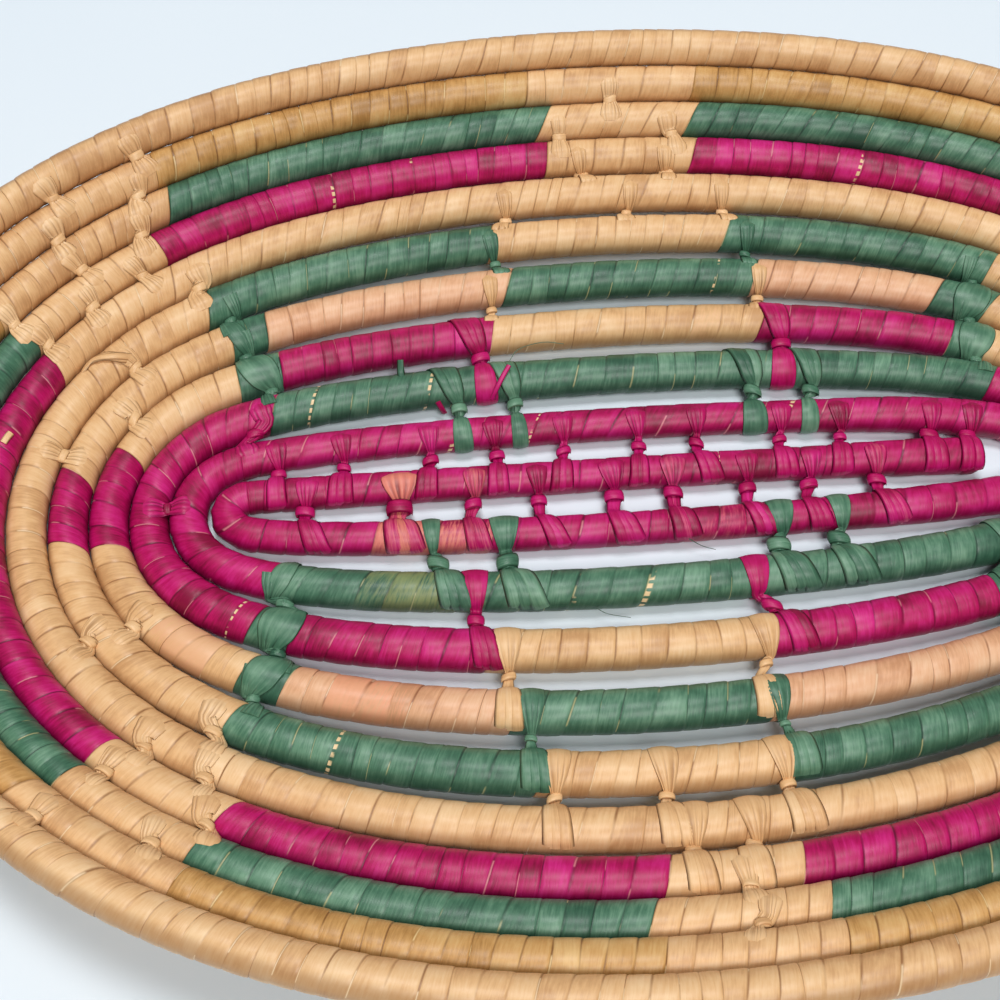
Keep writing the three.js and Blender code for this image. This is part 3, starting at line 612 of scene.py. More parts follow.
class Tree:
    """A node tree built in plain steps, with named inputs."""

    def __init__(self, group: bpy.types.NodeTree) -> None:
        """Keeps the group that the nodes go into."""
        self.group = group
        self.identifiers: dict[str, str] = {}

    @classmethod
    def geometry(cls, name: str) -> "Tree":
        """A new Geometry Nodes group with its geometry sockets.

        Args:
            name: The group's name.

        Returns:
            The tree, with its entry and its exit.
        """
        tree = cls(bpy.data.node_groups.new(name, "GeometryNodeTree"))
        tree.group.interface.new_socket("Geometry", in_out="INPUT", socket_type="NodeSocketGeometry")
        tree.group.interface.new_socket("Geometry", in_out="OUTPUT", socket_type="NodeSocketGeometry")
        tree.entry = tree.add("NodeGroupInput")
        tree.exit = tree.add("NodeGroupOutput")
        return tree

    def parameter(self, name: str, default: float | int | None = None) -> Socket:
        """A named input of the group.

        Args:
            name: The input's name.
            default: Its number, whole or not; an input with none is a material.

        Returns:
            The socket that gives its value.
        """
        kind = {int: "NodeSocketInt", float: "NodeSocketFloat", type(None): "NodeSocketMaterial"}[type(default)]
        item = self.group.interface.new_socket(name, in_out="INPUT", socket_type=kind)
        if default is not None:
            item.default_value = default
        self.identifiers[name] = item.identifier
        return self.entry.outputs[name]

    def feed(self, socket: Socket, value: object) -> None:
        """Links a socket to another or sets its value."""
        if isinstance(value, Socket):
            self.group.links.new(value, socket)
        else:
            socket.default_value = value

    def add(self, kind: str, inputs: Inputs | None = None, **settings: object) -> bpy.types.Node:
        """A node with its settings and inputs.

        Args:
            kind: The node's type.
            inputs: Values or sockets by the input's name or number.
            **settings: Properties of the node, such as its operation.

        Returns:
            The node.
        """
        node = self.group.nodes.new(kind)
        for key, value in settings.items():
            setattr(node, key, value)
        for key, value in (inputs or {}).items():
            self.feed(node.inputs[key], value)
        return node

    def made(self, kind: str, inputs: Inputs | None = None, **settings: object) -> Socket:
        """The first result of a new node."""
        return self.add(kind, inputs, **settings).outputs[0]

    def math(self, operation: str, *values: object) -> Socket:
        """The result of a Math node."""
        return self.made("ShaderNodeMath", dict(enumerate(values)), operation=operation)

    def times(self, first: object, *factors: object) -> Socket:
        """A product, multiplied from the left."""
        for factor in factors:
            first = self.math("MULTIPLY", first, factor)
        return first

    def plus(self, first: object, *others: object) -> Socket:
        """A sum, added from the left."""
        for other in others:
            first = self.math("ADD", first, other)
        return first

    def minus(self, first: object, other: object) -> Socket:
        """A difference."""
        return self.math("SUBTRACT", first, other)

    def times_plus(self, value: object, factor: object, addend: object) -> Socket:
        """A product and a sum in one step."""
        return self.math("MULTIPLY_ADD", value, factor, addend)

    def vector(self, operation: str, *values: object) -> Socket:
        """The result of a Vector Math node."""
        return self.made("ShaderNodeVectorMath", dict(enumerate(values)), operation=operation)

    def scaled(self, vector: object, amount: object) -> Socket:
        """A vector made longer or shorter."""
        return self.made("ShaderNodeVectorMath", {0: vector, "Scale": amount}, operation="SCALE")

    def sum(self, first: Socket, *others: Socket) -> Socket:
        """The sum of some vectors."""
        for other in others:
            first = self.vector("ADD", first, other)
        return first

    def pack(self, **parts: object) -> Socket:
        """A vector of the parts X, Y and Z."""
        return self.made("ShaderNodeCombineXYZ", parts)

    def unpack(self, vector: object) -> list[Socket]:
        """The three parts of a vector."""
        return list(self.add("ShaderNodeSeparateXYZ", {0: vector}).outputs)

    def named(self, name: str, kind: str = "FLOAT") -> Socket:
        """A named attribute of the geometry."""
        return self.made("GeometryNodeInputNamedAttribute", {"Name": name}, data_type=kind)

    def named_vector(self, name: str) -> Socket:
        """A named attribute of the geometry that is a vector."""
        return self.named(name, "FLOAT_VECTOR")

    def noise(self, place: object, scale: float, detail: float = 2.0, roughness: float = 0.5) -> Socket:
        """Noise in space."""
        inputs = {"Vector": place, "Scale": scale, "Detail": detail, "Roughness": roughness}
        return self.made("ShaderNodeTexNoise", inputs)

    def noise_along(self, number: object, scale: float, detail: float = 2.0) -> Socket:
        """Noise along one number."""
        inputs = {"W": number, "Scale": scale, "Detail": detail}
        return self.made("ShaderNodeTexNoise", inputs, noise_dimensions="1D")

    def ramp(self, value: object, low: object, high: object) -> Socket:
        """Smoothly from 0 to 1 as a value goes from low to high."""
        inputs = {"Value": value, "From Min": low, "From Max": high}
        return self.made("ShaderNodeMapRange", inputs, interpolation_type="SMOOTHSTEP")

    def colours(self, value: object, stops: dict[float, Colour]) -> Socket:
        """A colour for a value, between two stops or more.

        Args:
            value: What the colour depends on.
            stops: The colours by their values.

        Returns:
            The colour's socket.
        """
        node = self.add("ShaderNodeValToRGB", {0: value})
        ramp = node.color_ramp
        low, *between, high = sorted(stops)
        for element, at in ((ramp.elements[0], low), (ramp.elements[1], high)):
            element.position = at
            element.color = (*stops[at], 1)
        for at in between:
            ramp.elements.new(at).color = (*stops[at], 1)
        return node.outputs["Color"]

    def mix(self, share: object, under: object, over: Colour) -> Socket:
        """One colour laid over another."""
        return self.add("ShaderNodeMix", {"Factor": share, 6: under, 7: (*over, 1)}, data_type="RGBA").outputs[2]

    def store(self, geometry: Socket, name: str, value: object, kind: str = "FLOAT_VECTOR",
              domain: str = "CORNER") -> Socket:
        """Keeps a value on geometry by name.

        Args:
            geometry: The geometry.
            name: The attribute's name.
            value: A value or a socket.
            kind: The attribute's type.
            domain: Where it is kept, on points or corners.

        Returns:
            The geometry with the attribute.
        """
        node = self.add("GeometryNodeStoreNamedAttribute", {"Geometry": geometry, "Name": name},
                        data_type=kind, domain=domain)
        self.feed(node.inputs["Value"], value)
        return node.outputs["Geometry"]

    def sweep(self, lines: Socket, sides: Socket) -> Socket:
        """Closed tubes along lines of points; their places round the tube are kept as "spot".

        Args:
            lines: A mesh of lines.
            sides: Points round each tube.

        Returns:
            The tubes.
        """
        rail = self.made("GeometryNodeMeshToCurve", {"Mesh": lines})
        ring = self.made("GeometryNodeCurvePrimitiveCircle", {"Resolution": sides, "Radius": 1.0})
        ring = self.store(ring, "spot", self.made("GeometryNodeInputPosition"), domain="POINT")
        return self.made("GeometryNodeCurveToMesh", {"Curve": rail, "Profile Curve": ring, "Fill Caps": True})

    def lay(self, body: Socket, aside: object, above: object) -> Socket:
        """Puts each point beside and above its own point of the line.

        Args:
            body: The swept geometry.
            aside: How far to the side.
            above: How far outwards.

        Returns:
            The geometry in its place.
        """
        place = self.sum(self.named_vector("middle"), self.scaled(self.named_vector("side"), aside),
                         self.scaled(self.named_vector("out"), above))
        return self.made("GeometryNodeSetPosition", {"Geometry": body, "Position": place})

    def finish(self, body: Socket, material: Socket) -> None:
        """The tree's last steps: smooth shading, real geometry, the finish and the way out.

        Args:
            body: The finished shape.
            material: What it is finished in.
        """
        body = self.made("GeometryNodeSetShadeSmooth", {"Geometry": body, "Shade Smooth": True})
        body = self.made("GeometryNodeRealizeInstances", {0: body})
        body = self.made("GeometryNodeSetMaterial", {"Geometry": body, "Material": material})
        self.feed(self.exit.inputs[0], body)

    def bake(self, mesh: bpy.types.Mesh, name: str, **values: object) -> bpy.types.Mesh:
        """The plain mesh that this tree makes of a mesh.

        Args:
            mesh: What the tree starts from. It is used up.
            name: Name of the result.
            **values: The group's inputs, with underscores for the spaces in their names.

        Returns:
            The new mesh.
        """
        maker = bpy.data.objects.new(f"{name}_maker", mesh)
        bpy.context.scene.collection.objects.link(maker)
        modifier = maker.modifiers.new("leaf", "NODES")
        modifier.node_group = self.group
        for key, value in values.items():
            modifier[self.identifiers[key.replace("_", " ")]] = value
        graph = bpy.context.evaluated_depsgraph_get()
        result = bpy.data.meshes.new_from_object(maker.evaluated_get(graph), preserve_all_data_layers=True,
                                                 depsgraph=graph)
        result.name = name
        bpy.data.objects.remove(maker)
        bpy.data.meshes.remove(mesh)
        return result


def seam_strength(tree: Tree, wound: object, share: object) -> Socket:
    """How strong the seam at the nearer edge of a strip is, the same from both of its strips.

    Args:
        tree: The tree that needs it.
        wound: Number of the winding or strip.
        share: Place across the strip, from 0 to 1.

    Returns:
        A socket with values from 0.3 to 1.
    """
    noise = tree.noise_along(tree.plus(wound, tree.math("ROUND", share)), SEAM_SCALE)
    return tree.times_plus(tree.ramp(noise, *SEAM_LIMITS), 1 - SEAM_LEAST, SEAM_LEAST)


def wound_strip_tree() -> Tree:
    """Geometry Nodes: leaf strip wound edge to edge round a coil, from one line of points that winds with it.

    Each point of the line knows the strip's two edges and its middle, and which way is out at both edges.

    Returns:
        The tree, with its sizes as named inputs.
    """
    tree = Tree.geometry("wound leaf strip")
    points = tree.parameter("Points Across", 7)
    ease = tree.parameter("Edge Crowding", 0.5)
    groove = tree.parameter("Groove Depth", 0.16 * MM)
    width = tree.parameter("Groove Share", 0.12)
    pillow = tree.parameter("Pillow Height", 0.05 * MM)
    shingle = tree.parameter("Shingle Height", 0.12 * MM)
    wobble = tree.parameter("Strip Wobble", 0.10 * MM)
    wobble_scale = tree.parameter("Wobble Scale", 1.3)
    lumps = tree.parameter("Lump Height", 0.24 * MM)
    lump_scale = tree.parameter("Lump Scale", 170.0)
    seed = tree.parameter("Seed", 4.0)
    weld = tree.parameter("Weld Distance", 0.02 * MM)
    material = tree.parameter("Material")

    rail = tree.made("GeometryNodeMeshToCurve", {"Mesh": tree.entry.outputs["Geometry"]})
    line = tree.made("GeometryNodeCurvePrimitiveLine", {"Start": (0, 0, 0), "End": (1, 0, 0)})
    line = tree.made("GeometryNodeResampleCurve", {"Curve": line, "Count": points}, mode="COUNT")
    factor = tree.add("GeometryNodeSplineParameter").outputs["Factor"]
    swing = tree.math("COSINE", tree.times(factor, math.pi))
    crowded = tree.math("POWER", tree.math("ABSOLUTE", swing), ease)
    eased = tree.times_plus(tree.times(crowded, tree.math("SIGN", swing)), -0.5, 0.5)
    line = tree.store(line, "share", eased, "FLOAT", "POINT")
    body = tree.made("GeometryNodeCurveToMesh", {"Curve": rail, "Profile Curve": line})

    share = tree.named("share")
    rest = tree.minus(1.0, share)
    twice = tree.minus(tree.times(share, 2.0), 1.0)
    bulge = tree.times(share, rest, 4.0)
    place = tree.sum(tree.scaled(tree.named_vector("edge_low"), tree.times(rest, tree.times(twice, -1.0))),
                     tree.scaled(tree.named_vector("middle"), bulge),
                     tree.scaled(tree.named_vector("edge_high"), tree.times(share, twice)))
    out = tree.vector("NORMALIZE", tree.sum(tree.scaled(tree.named_vector("out_low"), rest),
                                            tree.scaled(tree.named_vector("out_high"), share)))

    seam = tree.ramp(tree.math("ABSOLUTE", twice), tree.minus(1.0, width), 1.0)
    wound = tree.named("wound")
    height = tree.times_plus(tree.noise_along(tree.plus(wound, seed), wobble_scale), 2.0, -1.0)
    relief = tree.plus(tree.times(bulge, pillow), tree.times(twice, 0.5, shingle), tree.times(height, wobble))
    relief = tree.times(relief, tree.minus(1.0, seam))
    relief = tree.minus(relief, tree.times(seam, tree.times(groove, seam_strength(tree, wound, share))))
    relief = tree.plus(relief, tree.times(tree.minus(tree.noise(place, lump_scale), 0.5), lumps))
    place = tree.sum(place, tree.scaled(out, relief))
    body = tree.made("GeometryNodeSetPosition", {"Geometry": body, "Position": place})

    body = tree.store(body, "leaf", tree.pack(X=share, Y=tree.named("reach"), Z=wound))
    body = tree.store(body, "look", tree.named_vector("look"))
    body = tree.made("GeometryNodeMergeByDistance", {"Geometry": body, "Distance": weld})
    tree.finish(body, material)
    return tree


def loose_strip_tree() -> Tree:
    """Geometry Nodes: flat or pleated strips of leaf along lines of points that know their width and direction.

    Returns:
        The tree, with its sizes as named inputs.
    """
    tree = Tree.geometry("leaf strip along a path")
    sides = tree.parameter("Points Around Strip", 8)
    folded_sides = tree.parameter("Points Around Pleats", 52)
    crown = tree.parameter("Crown Height", 0.07)
    drift = tree.parameter("Pleat Drift", 1.6)
    balance = tree.parameter("Pleat Balance", 0.6)
    plain_share = tree.parameter("Plain Edge Share", 0.12)
    hollow_depth = tree.parameter("Hollow Depth", 0.18 * MM)
    pleat_scale = tree.parameter("Pleat Scale", 3.0)
    seed = tree.parameter("Seed", 2.0)
    material = tree.parameter("Material")

    folds = tree.named("folds")
    pleated = tree.math("GREATER_THAN", folds, 0.5)
    kinds = tree.add("GeometryNodeSeparateGeometry",
                     {"Geometry": tree.entry.outputs["Geometry"], "Selection": pleated})
    joined = tree.add("GeometryNodeJoinGeometry")
    for output, count in (("Inverted", sides), ("Selection", folded_sides)):
        tree.feed(joined.inputs[0], tree.sweep(kinds.outputs[output], count))

    x, y, _ = tree.unpack(tree.named_vector("spot"))
    even = tree.times(tree.math("ARCSINE", x), 2 / math.pi)
    wound, depth, half = tree.named("wound"), tree.named("pleat"), tree.named("half_width")
    share = tree.times_plus(even, 0.5, 0.5)
    shift = tree.noise_along(tree.plus(share, wound, seed), pleat_scale)
    turn = tree.plus(tree.times(share, folds), tree.times(shift, drift))
    wave = tree.math("ABSOLUTE", tree.math("SINE", tree.times(turn, math.pi)))
    dome = tree.times(tree.minus(1.0, tree.times(even, even)), crown)
    height = tree.plus(tree.times(y, tree.named("half_thickness")), tree.times(dome, half),
                       tree.times(tree.minus(wave, balance), depth))
    body = tree.lay(joined.outputs[0], tree.times(even, half), height)

    plain = tree.times_plus(tree.math("LESS_THAN", folds, 0.5), plain_share, tree.minus(1.0, plain_share))
    across = tree.times_plus(tree.minus(share, 0.5), plain, 0.5)
    body = tree.store(body, "leaf", tree.pack(X=across, Y=tree.named("reach"), Z=wound))
    # Painted shade in the valleys of the pleats, kept in the look's third part
    painted_valley_shade = tree.times(tree.math("POWER", tree.minus(1.0, wave), 2.0), tree.ramp(depth, 0.0, hollow_depth))
    body = tree.store(body, "look", tree.sum(tree.named_vector("look"), tree.pack(Z=painted_valley_shade)))
    tree.finish(body, material)
    return tree


def bundle_tree() -> Tree:
    """Geometry Nodes: the round bundle of fibre along a line of points that know their radius.

    Returns:
        The tree, with its sizes as named inputs.
    """
    tree = Tree.geometry("fibre bundle")
    sides = tree.parameter("Points Around", 10)
    material = tree.parameter("Material")
    body = tree.sweep(tree.entry.outputs["Geometry"], sides)
    x, y, _ = tree.unpack(tree.named_vector("spot"))
    radius = tree.named("half_width")
    tree.finish(tree.lay(body, tree.times(x, radius), tree.times(y, radius)), material)
    return tree


@dataclass(frozen=True)
class Grain:
    """Marks of the leaf and painted shade of pleat hollows and row sides: each one's size or limits, and how much
    it tells.
    """

    seam_edge: float = 0.87
    seam_dark: float = 0.85
    # How dark the painted shade in pleat hollows gets
    hollow_painted_shade: float = 0.75
    # Painted shade on the sides of a wound row that face the next row: where it starts and how dark it gets
    side_shade_from: float = 0.74
    side_painted_shade: float = 0.5
    strip_scale: float = 1.9
    streak_scale: tuple[float, float, float] = (11.0, 0.14, 5.7)
    streak_detail: float = 4.0
    streak_roughness: float = 0.6
    blotch_scale: float = 190.0
    streak_tone: float = 0.55
    strip_tone: float = 0.5
    blotch_tone: float = 0.6
    deep_at: float = 0.28
    bright_at: float = 0.78
    worn_by: tuple[float, float, float] = (0.7, 0.6, 0.4)
    worn_from: float = 0.74
    worn_streaks: tuple[float, float] = (0.9, 0.4)
    fray_scale: float = 3.1
    fray_rarity: tuple[float, float] = (0.6, 0.66)
    fray_edge: float = 0.92
    fray_share: float = 0.85
    dash_rhythm: tuple[float, float] = (3.6, 6.0)
    dash_edge: tuple[float, float] = (0.15, 0.10)
    dash_wave: tuple[float, float] = (-0.5, -0.1)
    dash_blotch: tuple[float, float] = (0.42, 0.5)
    dash_colour: Colour = (0.84, 0.62, 0.34)
    roughness_span: float = 0.22
    bump_blotch: float = 0.6
    bump_strength: float = 0.22
    bump_height: float = 0.25 * MM
    specular: float = 0.4


class LeafFinish:
    """The procedural look of one dye on palm leaf: streaks along the strip, thin seams, faded and dashed stretches.

    A wound strip has painted shade where the rows face each other; pleats have painted shade in their hollows.
    The turn of a strip is the share of its winding number.
    """

    def __init__(self, dye: Dye, grain: Grain = Grain()) -> None:
        """Builds the material.

        Args:
            dye: The dye's colours and roughness.
            grain: The leaf's own marks.
        """
        self.dye, self.grain = dye, grain
        self.material = bpy.data.materials.new(f"{dye.leaf.value}_leaf")
        self.material.use_nodes = True
        self.tree = tree = Tree(self.material.node_tree)
        tree.group.nodes.clear()
        self.leaf, self.look = (tree.unpack(tree.add("ShaderNodeAttribute", attribute_name=name).outputs["Vector"])
                                for name in ("leaf", "look"))
        share, reach, wound = self.leaf
        self.edge = tree.math("ABSOLUTE", tree.times_plus(share, 2.0, -1.0))
        self.strip = tree.noise_along(wound, grain.strip_scale, 1.0)
        across, along, between = grain.streak_scale
        spot = tree.pack(X=tree.times(share, across), Y=tree.times(reach, along), Z=tree.times(wound, between))
        self.streak = tree.noise(spot, 1.0, grain.streak_detail, grain.streak_roughness)
        place = tree.add("ShaderNodeTexCoord").outputs["Object"]
        self.blotch = tree.noise(place, grain.blotch_scale, 3.0)

        colour = self.dyed()
        # Over the dye: turned dye, dark seams with painted shade, pale frayed edges and undyed dashes
        for much, over in ((self.faded(), dye.faded), (self.seams_and_painted_shade(), dye.seam_and_shade), (self.frayed(), dye.pale),
                           (self.dashed(), grain.dash_colour)):
            colour = tree.mix(much, colour, over)
        rough = tree.times_plus(self.streak, grain.roughness_span, dye.roughness - grain.roughness_span / 2)
        height = tree.plus(self.streak, tree.times(self.blotch, grain.bump_blotch))
        bump = tree.made("ShaderNodeBump", {"Height": height, "Strength": grain.bump_strength,
                                            "Distance": grain.bump_height})
        shader = tree.made("ShaderNodeBsdfPrincipled", {"Base Color": colour, "Roughness": rough, "Normal": bump,
                                                        "Specular IOR Level": grain.specular})
        output = tree.add("ShaderNodeOutputMaterial", {"Surface": shader})
        output.is_active_output = True

    def dyed(self) -> Socket:
        """The dye itself, from deep to bright with the streaks, the strip and the blotches.

        Returns:
            The colour.
        """
        tree, grain, dye = self.tree, self.grain, self.dye
        level = -0.5 * (grain.streak_tone + grain.strip_tone + grain.blotch_tone) + 0.5
        tone = tree.plus(tree.times_plus(self.streak, grain.streak_tone, level),
                         tree.times(self.strip, grain.strip_tone), tree.times(self.blotch, grain.blotch_tone),
                         self.look[1])
        return tree.colours(tone, {grain.deep_at: dye.deep, 0.5: dye.body, grain.bright_at: dye.bright})

    def seams_and_painted_shade(self) -> Socket:
        """Where it is dark: seams, and painted shade in the hollows of pleats and on the sides that face another
        row.

        Returns:
            How much, from 0 to 1.
        """
        tree, grain = self.tree, self.grain
        share, _, wound = self.leaf
        seam = tree.times(tree.ramp(self.edge, grain.seam_edge, 1.0), seam_strength(tree, wound, share))
        # Painted shade in the hollows of pleats
        painted_hollow_shade = tree.times(self.look[2], grain.hollow_painted_shade)
        seam_and_shade = tree.math("MAXIMUM", tree.times(seam, grain.seam_dark), painted_hollow_shade)
        # Painted shade: the sides of a wound strip that face the next row are darkened like a shaded groove
        side = tree.math("ABSOLUTE", tree.math("SINE", tree.times(wound, 2 * math.pi)))
        return tree.math("MAXIMUM", seam_and_shade, tree.times(tree.ramp(side, grain.side_shade_from, 1.0), grain.side_painted_shade))

    def faded(self) -> Socket:
        """Where the dye has turned.

        Returns:
            How much, from 0 to 1.
        """
        tree, grain = self.tree, self.grain
        by_streak, by_strip, by_place = grain.worn_by
        worn = tree.plus(tree.times(self.streak, by_streak), tree.times(self.strip, by_strip))
        worn = tree.ramp(tree.times_plus(self.look[0], by_place, worn), grain.worn_from, 1.0)
        return tree.times(self.look[0], tree.times(worn, tree.times_plus(self.streak, *grain.worn_streaks)))

    def frayed(self) -> Socket:
        """The pale edges that a few strips have.

        Returns:
            How much, from 0 to 1.
        """
        tree, grain = self.tree, self.grain
        number = tree.plus(self.leaf[2], tree.math("ROUND", self.leaf[0]))
        rare = tree.ramp(tree.noise_along(number, grain.fray_scale, 0.0), *grain.fray_rarity)
        return tree.times(tree.ramp(self.edge, grain.fray_edge, 1.0), tree.times(rare, grain.fray_share))

    def dashed(self) -> Socket:
        """The dashes of undyed leaf along a marked seam.

        Returns:
            How much, from 0 to 1.
        """
        tree, grain = self.tree, self.grain
        rhythm, wander = grain.dash_rhythm
        wave = tree.math("SINE", tree.times_plus(self.leaf[1], rhythm, tree.times(self.blotch, wander)))
        dash = tree.times(tree.ramp(self.leaf[0], *grain.dash_edge), tree.ramp(wave, *grain.dash_wave),
                          tree.ramp(self.blotch, *grain.dash_blotch), tree.times(self.look[2], -1.0))
        return tree.math("MAXIMUM", dash, 0.0)


def speckled(name: str, scale: float, detail: float, low: Colour, high: Colour,
             roughness: float) -> bpy.types.Material:
    """A material that is speckled between two colours.

    Args:
        name: The material's name.
        scale: How fine the speckles are.
        detail: How many finer layers they have.
        low: One colour.
        high: The other colour.
        roughness: The same all over.

    Returns:
        The material.
    """
    material = bpy.data.materials.new(name)
    material.use_nodes = True
    tree = Tree(material.node_tree)
    shader = tree.group.nodes["Principled BSDF"]
    place = tree.add("ShaderNodeTexCoord").outputs["Object"]
    tree.feed(shader.inputs["Base Color"], tree.colours(tree.noise(place, scale, detail), {0.0: low, 1.0: high}))
    shader.inputs["Roughness"].default_value = roughness
    return material


@dataclass
class Wrapping:
    """The leaf strip wound round the coil: where each winding's edge lies, and the runs of one colour."""

    coil: Coil
    usual: tuple[float, float] = (5.0, 1.25)
    wide: tuple[float, float] = (6.2, 1.7)
    least: float = 2.7
    most: float = 8.8
    inner_rows: float = 61.0
    spare: float = 20.0
    lean: float = 0.6
    lean_mean: float = -0.3
    lean_every: int = 14
    shiver: float = 0.3
    girth: float = 4.6
    shade_wave: tuple[float, float] = (0.04, 1.7)
    steps: int = 24
    seed: int = 11

    @cached_property
    def seams(self) -> np.ndarray:
        """How far along the coil each winding starts; the strip of the inner rows is wider."""
        random = np.random.default_rng(self.seed)
        inner_rows = float(self.coil.length_at(self.inner_rows))
        at = [0.0]
        while at[-1] < self.coil.table["length"][-1] + self.spare:
            pitch, spread = self.wide if at[-1] < inner_rows else self.usual
            at.append(at[-1] + float(np.clip(random.normal(pitch, spread), self.least, self.most)))
        return np.array(at)

    @cached_property
    def leans(self) -> np.ndarray:
        """How far each winding's edge leans along the coil between its two sides."""
        random = np.random.default_rng(self.seed + 1)
        count = len(self.seams)
        posts = np.arange(0, count + self.lean_every, self.lean_every)
        slow = np.interp(np.arange(count), posts, random.normal(self.lean_mean, self.lean, len(posts)))
        leans = slow + random.normal(0, self.shiver, count)
        for i in range(1, count):
            most = 0.5 * (self.seams[i] - self.seams[i - 1])
            leans[i] = np.clip(leans[i], leans[i - 1] - most, leans[i - 1] + most)
        return leans

    def winding(self, station: float) -> float:
        """Which winding, and what share of it, lies at a station."""
        return float(np.interp(self.coil.length_at(station), self.seams, np.arange(len(self.seams))))

    def length(self, edge: np.ndarray, turned: np.ndarray) -> np.ndarray:
        """How far along the coil some edges are.

        Args:
            edge: The edges' numbers, with the share of their winding.
            turned: The windings that they are seen from.

        Returns:
            Their lengths along the coil, in mm.
        """
        number = np.arange(len(self.seams))
        at = np.interp(edge, number, self.seams)
        at = at + np.interp(edge, number, self.leans) * np.sin(2 * math.pi * turned)
        return np.clip(at, 0, self.coil.table["length"][-1])

    @cached_property
    def runs(self) -> list[tuple[str, Leaf, int, int]]:
        """Each run's node, dye, and first and last winding, with the colours changing on a seam."""
        rows = []
        begin = -1
        for node, leaf, turn, place in CHART:
            station = turn * self.coil.turn + place
            end = round(self.winding(station) - 0.5)
            if station >= self.coil.last:
                end = math.ceil(self.winding(self.coil.last))
            rows.append((node, leaf, begin, end))
            begin = end
        return rows

    def owner(self, station: float) -> str:
        """Whose strip covers a station.

        Args:
            station: The station.

        Returns:
            The CAD node's name.
        """
        for node, _, turn, place in CHART:
            if station <= turn * self.coil.turn + place:
                return node
        return CHART[-1][0]

    def rails(self, begin: int, end: int) -> dict[str, np.ndarray]:
        """The line that winds round one run, with what each of its points knows.

        Args:
            begin: The run's first winding.
            end: The winding after its last.

        Returns:
            The line's arrays by name.
        """
        wound = np.linspace(begin, end, (end - begin) * self.steps + 1)
        angle = 2 * math.pi * (wound - np.floor(wound))
        low, middle, high = (self.length(wound + share, wound) for share in (0, 0.5, 1))
        edge_low, out_low = self.coil.skin(low, angle)
        edge_high, out_high = self.coil.skin(high, angle)
        centre, _ = self.coil.skin(middle, angle)
        station = np.interp(middle, self.coil.table["length"], self.coil.table["station"])
        dashed = [round(self.winding(turn * self.coil.turn + place) - 0.5) for turn, place in DASHED_SEAMS]
        dash = -np.isin(np.floor(wound + 1e-6), dashed).astype(float)
        size, rhythm = self.shade_wave
        shade = self.worn(station, SHADED) + size * np.sin(station * rhythm)
        look = np.stack([self.worn(station, FADED), shade, dash], -1)
        return {
            "middle": centre * MM, "edge_low": edge_low * MM, "edge_high": edge_high * MM,
            "out_low": out_low, "out_high": out_high,
            "reach": wound * 2 * math.pi * self.girth, "wound": wound, "look": look,
        }

    def worn(self, station: np.ndarray, stretches: tuple[tuple[int, float, float, float], ...]) -> np.ndarray:
        """How strongly some stretches of the coil show.

        Args:
            station: The stations that are looked at.
            stretches: Turn, place, half length in places, and strength of each stretch.

        Returns:
            The strength at each station.
        """
        worn = np.zeros_like(station)
        for turn, place, half, much in stretches:
            worn = worn + much * smooth(STRETCH_EDGE - np.abs(station - turn * self.coil.turn - place) / half)
        return worn


# A key of a strip's path: point, outward direction, half width, thickness and depth of the pleats
Key = tuple[np.ndarray, np.ndarray, float, float, float]


@dataclass(frozen=True)
class Tie:
    """Where two rows are drawn together: their sections and the knot's centre and directions."""

    a: Spot
    b: Spot
    centre: np.ndarray
    across: np.ndarray
    along: np.ndarray
    up: np.ndarray

    @classmethod
    def between(cls, a: Spot, b: Spot, rise: float, share: float = 0.5) -> "Tie":
        """The tie of two rows.

        Args:
            a: One row, facing the other.
            b: The other row, facing the first.
            rise: The knot's height over the line between them, in radii.
            share: How near to row b the knot is.

        Returns:
            The tie.
        """
        if float(np.dot(a.along, b.along)) < 0:
            b = Spot(b.centre, b.facing, b.up, -b.along, b.radius)
        near, far = a.at(0, 0, 0)[0], b.at(0, 0, 0)[0]
        up = unit(a.up + b.up)
        centre = near + (far - near) * share + up * rise * a.radius
        return cls(a, b, centre, unit(b.centre - a.centre), unit(a.along + b.along), up)


@dataclass(frozen=True)
class Knot:
    """One knot in the making: the node that it belongs to, its tie and scale, and its leaf's fading and shade."""

    owner: str
    tie: Tie
    size: float
    fade: float = 0.0
    shade: float = 0.0


@dataclass(frozen=True)
class Hand:
    """How far the maker's hand strays: mean and spread, or for widths, folds and fading the least and the most."""

    open_width: tuple[float, float] = (0.9, 1.12)
    open_drift: tuple[float, float] = (0, 0.5)
    fan_drift: tuple[float, float] = (0, 0.5)
    fan_folds: tuple[float, float] = (-0.6, 0.8)
    fan_shade: tuple[float, float] = (0, 0.03)
    foot_drift: tuple[float, float] = (0, 0.2)
    foot_fading: tuple[float, float] = (0.5, 1.1)
    foot_shade: tuple[float, float] = (0.02, 0.05)
    ring_width: tuple[float, float] = (0.9, 1.12)
    ring_skew: tuple[float, float] = (0, 0.3)
    ring_shade: tuple[float, float] = (0.04, 0.05)
    strap_drift: tuple[float, float] = (0, 0.4)
    strap_folds: tuple[float, float] = (1.3, 2.6)
    pad_width: tuple[float, float] = (0.8, 1.15)
    pad_drift: tuple[float, float] = (0, 0.8)
    pad_far_width: tuple[float, float] = (0.8, 1.1)
    pad_folds: tuple[float, float] = (-1, 1)
    pad_shade: tuple[float, float] = (0.04, 0.03)
    pad_ring_width: tuple[float, float] = (0.85, 1.2)
    link_shade: tuple[float, float] = (0.02, 0.03)


